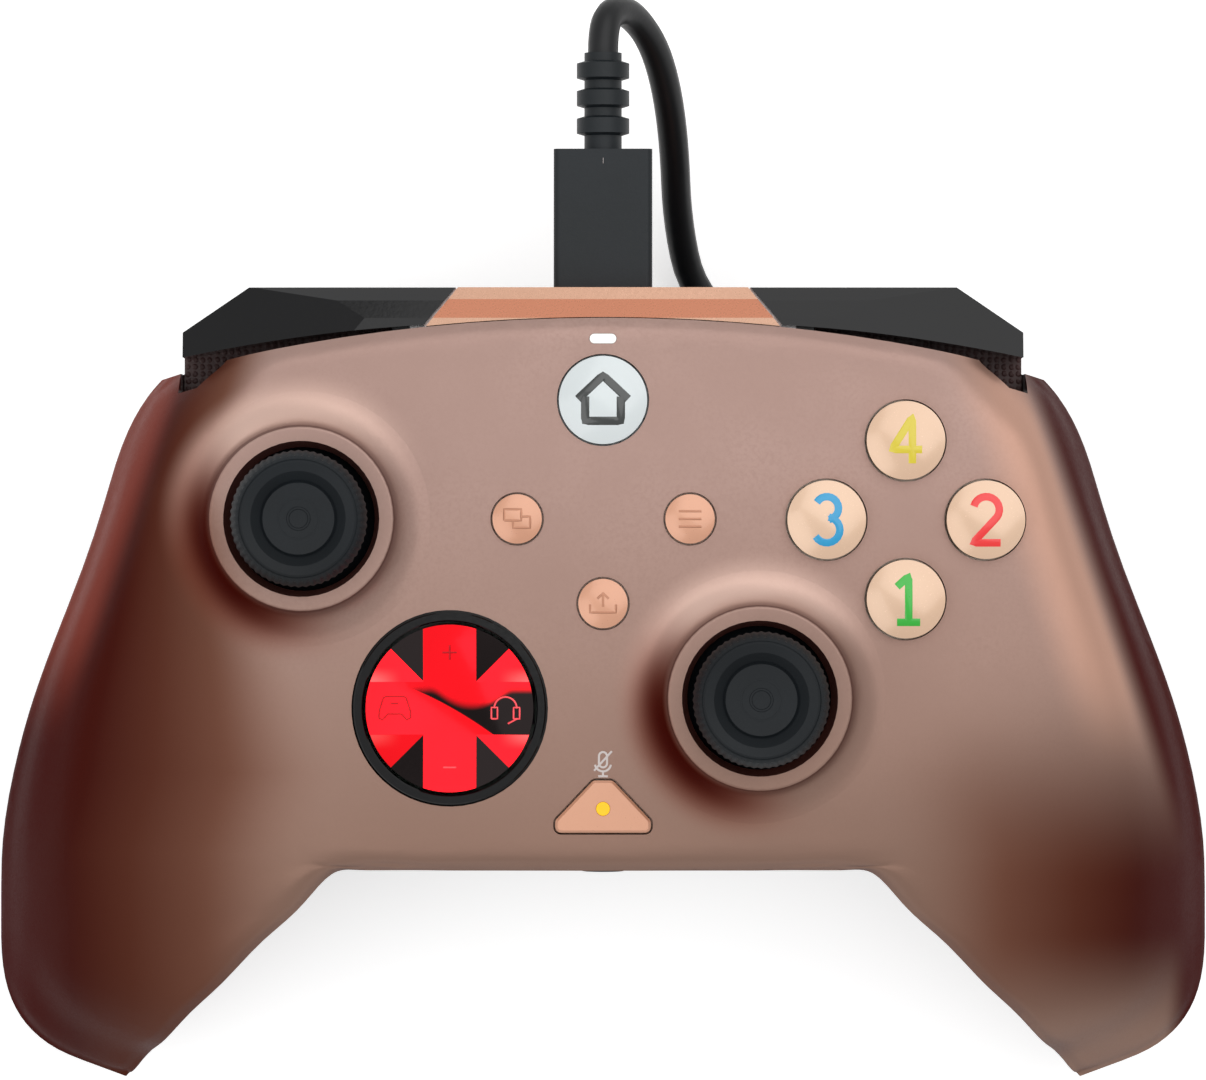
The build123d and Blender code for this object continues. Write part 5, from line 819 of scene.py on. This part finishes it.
@dataclass
class Cable:
    """The cord with its loop, its put-away coil, tie and both plugs.

    Attributes:
        diameter: the cord's diameter.
        length: its real length. Not used.
        lead: route from the strain relief to the coil.
        tail: route from the coil to the far plug.
        coil_centre: axis of the coil.
        coil_radius: radius of the outermost turn.
        pitch: drift of the radius in one turn.
        lift: height of one layer.
        low: height of the lowest turns' centre.
        layer_quarters: quarter turns in each layer.
        climb_quarters: quarter turns of each climb.
        per_quarter: control points in a quarter turn.
    """

    diameter: float = 3.8
    length: float = 2859.6
    lead: tuple[Place, ...] = (
        (0.0, 80.0, 32.6),
        (0.0, 83.3, 32.6),
        (1.2, 85.6, 30.6),
        (3.5, 85.6, 27.0),
        (6.3, 82.3, 22.6),
        (8.1, 77.0, 18.4),
        (9.2, 69.6, 13.4),
        (9.6, 60.4, 7.6),
        (11.6, 51.2, 3.0),
        (18.6, 45.4, 2.1),
        (26.6, 40.4, 2.1),
        (31.8, 32.8, 2.2),
        (32.4, 23.6, 2.5),
    )
    tail: tuple[Place, ...] = (
        (-9.0, -18.325, 15.25),
        (-18.6, -18.9, 13.2),
        (-28.6, -19.4, 9.4),
        (-37.4, -18.6, 5.7),
        (-43.2, -12.4, 3.9),
        (-43.2, -4.6, 3.9),
        (-43.2, 2.45, 3.9),
    )
    coil_centre: Point = (0.0, 13.0)
    coil_radius: float = 32.4
    pitch: float = 4.3
    lift: float = 4.25
    low: float = 2.5
    layer_quarters: tuple[int, ...] = (18, 18, 18, 17)
    climb_quarters: int = 2
    per_quarter: int = 4

    def quarters(self) -> list[Point]:
        """Radius and height of the coil at each quarter turn."""
        radius, height = self.coil_radius, self.low
        places = [(radius, height)]
        for layer, count in enumerate(self.layer_quarters):
            drift = self.pitch / 4 * (-1 if layer % 2 == 0 else 1)
            steps = [(drift, 0.0)] * count
            if layer < len(self.layer_quarters) - 1:
                rise = self.lift / self.climb_quarters
                steps += [(drift, rise), (-drift, rise)]
            for change, rise in steps:
                radius, height = radius + change, height + rise
                places.append((radius, height))
        return places

    def coil(self) -> list[Place]:
        """Control points of the coil, set out a little so that the curve between them has the true radius."""
        places = self.quarters()
        step = math.pi / 2 / self.per_quarter
        points = []
        for number in range((len(places) - 1) * self.per_quarter):
            turn = (number + 0.5) / self.per_quarter
            first = int(turn)
            (r0, z0), (r1, z1) = places[first], places[first + 1]
            radius = (r0 + (r1 - r0) * (turn - first)) / math.cos(step / 2)
            height = z0 + (z1 - z0) * (turn - first)
            angle = -(number + 0.5) * step
            x = self.coil_centre[0] + radius * math.cos(angle)
            points.append((x, self.coil_centre[1] + radius * math.sin(angle), height))
        return points

    def build(self) -> Iterable[Piece]:
        """Lays the cord on its route and dresses what is on it."""
        route = [*self.lead, *self.coil(), *self.tail]
        curve = bpy.data.curves.new("cord_line", "CURVE")
        curve.dimensions = "3D"
        curve.bevel_depth = self.diameter / 2 * MM
        curve.bevel_resolution = 4
        curve.resolution_u = 5
        curve.use_fill_caps = True
        spline = curve.splines.new("NURBS")
        spline.points.add(len(route) - 1)
        for point, place in zip(spline.points, route):
            point.co = (*(c * MM for c in place), 1)
        spline.order_u = 3
        spline.use_endpoint_u = True
        cord = bpy.data.objects.new("cord_line", curve)
        bpy.context.collection.objects.link(cord)
        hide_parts("cord", "cord_coil")
        Look.CORD.finish(cord, "case")
        names = ("usb_a_plug", "usb_a_tip", "coil_tie", "usb_c_plug", "usb_c_tip", "strain_relief")
        on_cord = [cad(name) for name in names]
        tuple(c * MM for c in self.lead[0])
        Look.PLUG.dress(cad("usb_c_plug"), cad("usb_a_plug"), cad("strain_relief"))
        Look.CORD.dress(cad("coil_tie"))
        Look.NICKEL.dress(cad("usb_c_tip"), cad("usb_a_tip"))
        yield cord
        dot = [[(0, 0), (0.05, 0)]]
        yield Sign("plug_dot", "usb_c_plug", "case", Look.PALE_INK, (0.0, 66.3), dot, 0.7, 0.05).build()


# Sticks


@dataclass
class Stick:
    """The seen details of one stick: its scalloped tread and the rings in its dish.

    Attributes:
        side: left or right.
        centre: its axis.
        top: height of the cap's crest.
        rim: radius of the cap.
        dish: depth of the middle.
        scallops: how many hollows the tread has.
        rings: radii of the raised rings in the middle.
        section: the tread's profile, from the rim outwards and from the crest upwards.
        hollow: depth of a hollow.
        hollow_from: how far in from the rim the hollows reach.
        ring_section: a ring's profile, from its radius outwards and from its foot upwards.
        ring_sink: how deep a ring's foot is set into the dish.
    """

    side: str
    centre: Point
    top: float = 58.6
    rim: float = 8.2
    dish: float = 1.3
    scallops: int = 56
    rings: tuple[float, ...] = (1.3, 2.5, 3.7)
    section: tuple[Point, ...] = (
        (-0.4, -3.9),
        (0.16, -3.7),
        (0.2, -2.1),
        (-0.12, -1.2),
        (-0.5, -0.45),
        (-0.95, -0.18),
        (-1.1, -0.9),
    )
    hollow: float = 0.17
    hollow_from: float = 0.6
    ring_section: tuple[Point, ...] = ((-0.28, 0.0), (-0.1, 0.2), (0.1, 0.2), (0.28, 0.0))
    ring_sink: float = 0.3

    def tread(self) -> Piece:
        """A band round the cap with small hollows, pulled in at every other column."""
        profile = [(self.rim + out, self.top + up) for out, up in self.section]
        band = ring_walk(f"{self.side}_stick_tread", self.centre, profile, 4 * self.scallops)
        middle = Vector((self.centre[0] * MM, self.centre[1] * MM, 0))
        for vertex in band.data.vertices:
            flat = Vector((vertex.co.x, vertex.co.y, 0)) - middle
            if flat.length > (self.rim - self.hollow_from) * MM:
                wave = math.cos(self.scallops * math.atan2(flat.y, flat.x))
                pull = self.hollow * MM * (0.5 - 0.5 * wave)
                vertex.co -= flat.normalized() * pull
        return Look.RUBBER.finish(band, f"{self.side}_cap")

    def ring(self, radius: float, number: int) -> Piece:
        """One low ring in the dish."""
        foot = self.top - self.dish - self.ring_sink
        profile = [(radius + out, foot + up) for out, up in self.ring_section]
        ring = ring_walk(f"{self.side}_stick_ring_{number}", self.centre, profile, 72)
        return Look.RUBBER.finish(ring, f"{self.side}_cap")

    def build(self) -> Iterable[Piece]:
        """Adds the details and dresses the stick's CAD nodes."""
        Look.RUBBER.dress(cad(f"{self.side}_stick_cap"))
        Look.INNER.dress(cad(f"{self.side}_stick_stem"), cad(f"{self.side}_stick_yoke"))
        Look.STEEL.dress(cad(f"{self.side}_stick_housing"))
        Look.NYLON.dress(cad(f"{self.side}_stick_sensors"))
        yield self.tread()
        for number, radius in enumerate(self.rings, 1):
            yield self.ring(radius, number)


# Pad


@dataclass
class Pad:
    """The dished directional pad.

    Attributes:
        centre: its middle.
        line: width of the etched lines.
        reach: how far out the signs lie.
    """

    centre: Point = (-18.95, -2.0)
    line: float = 0.22
    reach: float = 6.9

    def sign(self, name: str, look: Look, x: float, y: float, strokes: Sequence[Stroke]) -> Piece:
        """One etched sign on an arm."""
        spot = (self.centre[0] + x, self.centre[1] + y)
        return Sign(name, "pad_dish", "pad", look, spot, strokes, self.line, 0.05).build()

    def build(self) -> Iterable[Piece]:
        """Dresses the pad and etches its four signs."""
        Look.MIRROR.dress(cad("pad_dish"))
        Look.PIANO.dress(cad("pad_ring"))
        Look.INNER.dress(cad("pad_carrier"), cad("pad_posts"))
        yield self.sign("pad_plus", Look.ETCHED, 0, self.reach, [[(-0.9, 0), (0.9, 0)], [(0, -0.9), (0, 0.9)]])
        yield self.sign("pad_minus", Look.ETCHED_LIGHT, 0, -self.reach - 0.4, [[(-0.8, 0), (0.8, 0)]])
        left = [(-0.8, -0.7), (-1.5, -1.4), (-1.95, -1.2), (-1.9, -0.3), (-1.4, 1.3), (-1.0, 1.5)]
        outline = [*left[2:], *((-x, y) for x, y in reversed(left)), *left[:3]]
        yield self.sign("pad_game", Look.ETCHED, -self.reach + 0.1, 0, [outline, [(-0.5, 0.6), (0.5, 0.6)]])
        cups = [frame_of((-1.75, -1.2), (-1.0, 0.2)), frame_of((1.0, -1.2), (1.75, 0.2))]
        band = arc((0, 0.1), 1.4, 180, 0)
        yield self.sign("pad_headset", Look.ETCHED_LIGHT, self.reach, -0.1, [band, *cups, [(1.4, -1.2), (0.3, -1.8)]])


# Buttons


@dataclass
class Buttons:
    """All buttons on the face with what is printed on them.

    Attributes:
        numeral_height: height of the numerals.
        numeral_width: width of their strokes.
        sign_width: width of the small signs' strokes.
    """

    numeral_height: float = 5.7
    numeral_width: float = 0.95
    sign_width: float = 0.3

    def numeral(self, number: int) -> list[Stroke]:
        """The strokes of one numeral, about its middle."""
        two = arc((0, 0.22), 0.28, 165, -35) + [(-0.29, -0.5), (0.31, -0.5)]
        three = arc((0, 0.25), 0.25, 150, -80), arc((0, -0.22), 0.28, 82, -150)
        drawn: dict[int, Sequence[Stroke]] = {
            1: ([(-0.2, 0.27), (0.05, 0.5), (0.05, -0.5)], [(-0.2, -0.5), (0.3, -0.5)]),
            2: (two,),
            3: three,
            4: ([(0.13, -0.5), (0.13, 0.5), (-0.31, -0.2), (0.34, -0.2)],),
        }
        return [[(x * self.numeral_height, y * self.numeral_height) for x, y in stroke] for stroke in drawn[number]]

    def build(self) -> Iterable[Piece]:
        """Dresses the buttons and adds their numerals and signs."""
        faces = (
            ("south", 1, Look.GREEN, (37.4, 11.5)),
            ("east", 2, Look.RED, (47.3, 21.3)),
            ("west", 3, Look.BLUE, (27.6, 21.3)),
            ("north", 4, Look.YELLOW, (37.4, 31.1)),
        )
        for name, number, look, centre in faces:
            node = f"{name}_button"
            Look.KEY.dress(cad(node))
            strokes = self.numeral(number)
            yield Sign(f"{name}_numeral", node, node, look, centre, strokes, self.numeral_width, 0.05).build()
        behind = [(-0.5, -0.2), (-0.5, -1.1), (1.6, -1.1), (1.6, 0.3), (0.5, 0.3)]
        two_panes = [frame_of((-1.6, -0.2), (0.5, 1.2)), behind]
        three_lines = [[(-1.4, y), (1.4, y)] for y in (-0.95, 0.0, 0.95)]
        tray = [(-1.6, -0.1), (-1.6, -1.1), (1.6, -1.1), (1.6, -0.1)]
        arrow = [[(0, -0.4), (0, 1.3)], [(-0.7, 0.6), (0, 1.3), (0.7, 0.6)]]
        small = (
            ("view", (-10.6, 21.4), two_panes),
            ("menu", (10.75, 21.4), three_lines),
            ("share", (0.0, 10.95), [tray, *arrow]),
        )
        for name, centre, strokes in small:
            node = f"{name}_button"
            Look.SMALL_KEY.dress(cad(node))
            yield Sign(f"{name}_sign", node, node, Look.COPPER_INK, centre, strokes, self.sign_width, 0.05).build()
        Look.HOME.dress(cad("home_button"))
        Look.SMALL_KEY.dress(cad("function_button"))
        Look.AMBER_LIGHT.dress(cad("function_lens"))
        Look.SILICONE.dress(cad("button_mat"))
        house = [[(-3.1, 0.1), (0, 3.0), (3.1, 0.1)], [(-2.2, 0.4), (-2.2, -2.6), (2.2, -2.6), (2.2, 0.4)]]
        yield Sign("home_sign", "home_button", "home_button", Look.DARK_INK, (0.0, 36.1), house, 1.05, 0.05).build()


# Case


@dataclass
class Case:
    """Shells, bridge, shoulder buttons, triggers and the sign above the function button.

    Attributes:
        microphone: middle of that sign.
        line: width of its strokes.
    """

    microphone: Point = (0.0, -8.9)
    line: float = 0.26

    def build(self) -> Iterable[Piece]:
        """Dresses the CAD nodes of the case and prints the microphone sign."""
        Look.FACE.dress(cad("faceplate"))
        Look.GRIP.dress(cad("rear_shell"))
        Look.TRIM.dress(cad("top_bridge"))
        Look.WHITE_LIGHT.dress(cad("status_lens"))
        for side in ("left", "right"):
            Look.PIANO.dress(cad(f"{side}_bumper"), cad(f"{side}_trigger"))
            Look.INNER.dress(cad(f"{side}_back_button"))
        capsule = arc((0, 1.0), 0.5, 0, 180, 8) + arc((0, 0.1), 0.5, 180, 360, 8) + [(0.5, 1.0)]
        cup = arc((0, 0.1), 1.0, 190, 350, 10)
        strokes = [capsule, cup, [(0, -0.9), (0, -1.5)], [(-0.6, -1.5), (0.6, -1.5)], [(-1.1, -0.8), (1.1, 1.6)]]
        yield Sign("mute_sign", "faceplate", "case", Look.PALE_INK, self.microphone, strokes, self.line, 0.03).build()


@dataclass
class Inside:
    """Everything that the shells hold.

    Attributes:
        looks: each finish and the CAD nodes that have it.
    """

    looks: tuple[tuple[Look, tuple[str, ...]], ...] = (
        (Look.INNER, ("inner_frame", "audio_jack")),
        (Look.BOARD, ("main_board",)),
        (Look.CHIP, ("board_chips",)),
        (Look.NYLON, ("tact_switches",)),
        (Look.NICKEL, ("usb_socket",)),
        (Look.STEEL, ("bumper_pins", "trigger_pins", "left_trigger_spring", "right_trigger_spring")),
        (Look.STEEL, ("case_screws", "board_screws")),
        (Look.CAN, ("left_motor", "right_motor")),
        (Look.WEIGHT, ("left_motor_weight", "right_motor_weight")),
    )

    def build(self) -> Iterable[Piece]:
        """Dresses the inner CAD nodes."""
        for look, names in self.looks:
            look.dress(*(cad(name) for name in names))
        return ()


# Studio


@dataclass
class Studio:
    """Floor, soft lamps, white surroundings and the camera.

    Attributes:
        floor_size: side of the floor.
        camera_height: height of the camera over the floor.
        aim: point that it looks down on.
        lens: its focal length.
        clip: nearest and farthest distance that it sees, in metres.
        floor_drop: how far the floor lies under the feet.
        floor_glow: light that makes the floor white to the camera.
        lamps: name, place, side and power in watts of each lamp.
        lamp_aim: height over the floor that the lamps look at.
    """

    floor_size: float = 6000.0
    camera_height: float = 818.0
    aim: Point = (0.0, 18.8)
    lens: float = 186.5
    clip: Span = (0.01, 50.0)
    floor_drop: float = 0.02
    floor_glow: float = 0.55
    lamps: tuple[tuple[str, Place, float, float], ...] = (
        ("key_lamp", (220, 320, 760), 900, 3.7),
        ("fill_lamp", (-420, -200, 700), 600, 1.5),
    )
    lamp_aim: float = 30.0

    def white_for_view(self, tree: Tree) -> Socket:
        """1 for the rays that see the background, straight or in a reflection."""
        path = add_node(tree, "LightPath").outputs
        seen = maths(tree, "MAXIMUM", path["Is Camera Ray"], path["Is Glossy Ray"])
        return maths(tree, "MAXIMUM", seen, path["Is Transmission Ray"])

    def floor(self) -> Piece:
        """A pale floor that keeps a faint shadow."""
        bpy.ops.object.select_all(action="DESELECT")
        bpy.ops.mesh.primitive_plane_add(size=self.floor_size * MM, location=(0, 0, -self.floor_drop * MM))
        floor = in_mesh(bpy.context.active_object)
        floor.name = "floor"
        material = bpy.data.materials.new("pale_floor")
        material.use_nodes = True
        tree = material.node_tree
        tree.nodes.clear()
        plain = add_node(tree, "BsdfDiffuse", None, {"Color": (0.8, 0.8, 0.8, 1)}).outputs[0]
        white = add_node(tree, "Emission", None, {"Color": (1, 1, 1, 1), "Strength": self.floor_glow}).outputs[0]
        both = add_node(tree, "AddShader", None, {0: plain, 1: white}).outputs[0]
        view = self.white_for_view(tree)
        surface = add_node(tree, "MixShader", None, {0: view, 1: plain, 2: both}).outputs[0]
        add_node(tree, "OutputMaterial", None, {"Surface": surface})
        floor.data.materials.append(material)
        return floor

    def surroundings(self) -> None:
        """A white world for what is seen and a calmer one for what it lights."""
        world = bpy.data.worlds.new("studio")
        bpy.context.scene.world = world
        world.use_nodes = True
        tree = world.node_tree
        tree.nodes.clear()
        strength = maths(tree, "MULTIPLY_ADD", self.white_for_view(tree), 0.5, 0.5)
        light = add_node(tree, "Background", None, {"Color": (1, 1, 1, 1), "Strength": strength})
        add_node(tree, "OutputWorld", None, {"Surface": light.outputs[0]})

    def lamp(self, name: str, place: Place, size: float, power: float) -> Piece:
        """A square soft lamp that looks at the gamepad."""
        data = bpy.data.lights.new(name, "AREA")
        data.size = size * MM
        data.energy = power
        lamp = bpy.data.objects.new(name, data)
        bpy.context.collection.objects.link(lamp)
        lamp.location = Vector(place) * MM
        towards = Vector((0, 0, self.lamp_aim * MM)) - lamp.location
        lamp.rotation_euler = towards.to_track_quat("-Z", "Y").to_euler()
        return lamp

    def camera(self) -> Piece:
        """A long lens straight above the face."""
        data = bpy.data.cameras.new("camera")
        data.lens = self.lens
        data.clip_start, data.clip_end = self.clip
        camera = bpy.data.objects.new("camera", data)
        bpy.context.collection.objects.link(camera)
        camera.location = (self.aim[0] * MM, self.aim[1] * MM, self.camera_height * MM)
        bpy.context.scene.camera = camera
        return camera

    def build(self) -> Iterable[Piece]:
        """Sets the studio up."""
        bpy.context.scene.view_settings.view_transform = "Standard"
        self.surroundings()
        yield self.camera()
        yield self.floor()
        for lamp in self.lamps:
            yield self.lamp(*lamp)


def main() -> None:
    """Builds every sub-assembly in order."""
    logging.basicConfig(level=logging.INFO, format="%(message)s")
    sticks = (Stick("left", (-37.1, 21.4)), Stick("right", (19.3, -0.7)))
    for assembly in (Studio(), Cable(), Case(), Buttons(), Pad(), *sticks, Inside()):
        for piece in assembly.build():
            LOG.info("%s: %s", type(assembly).__name__, piece.name)


if __name__ == "__main__":
    main()
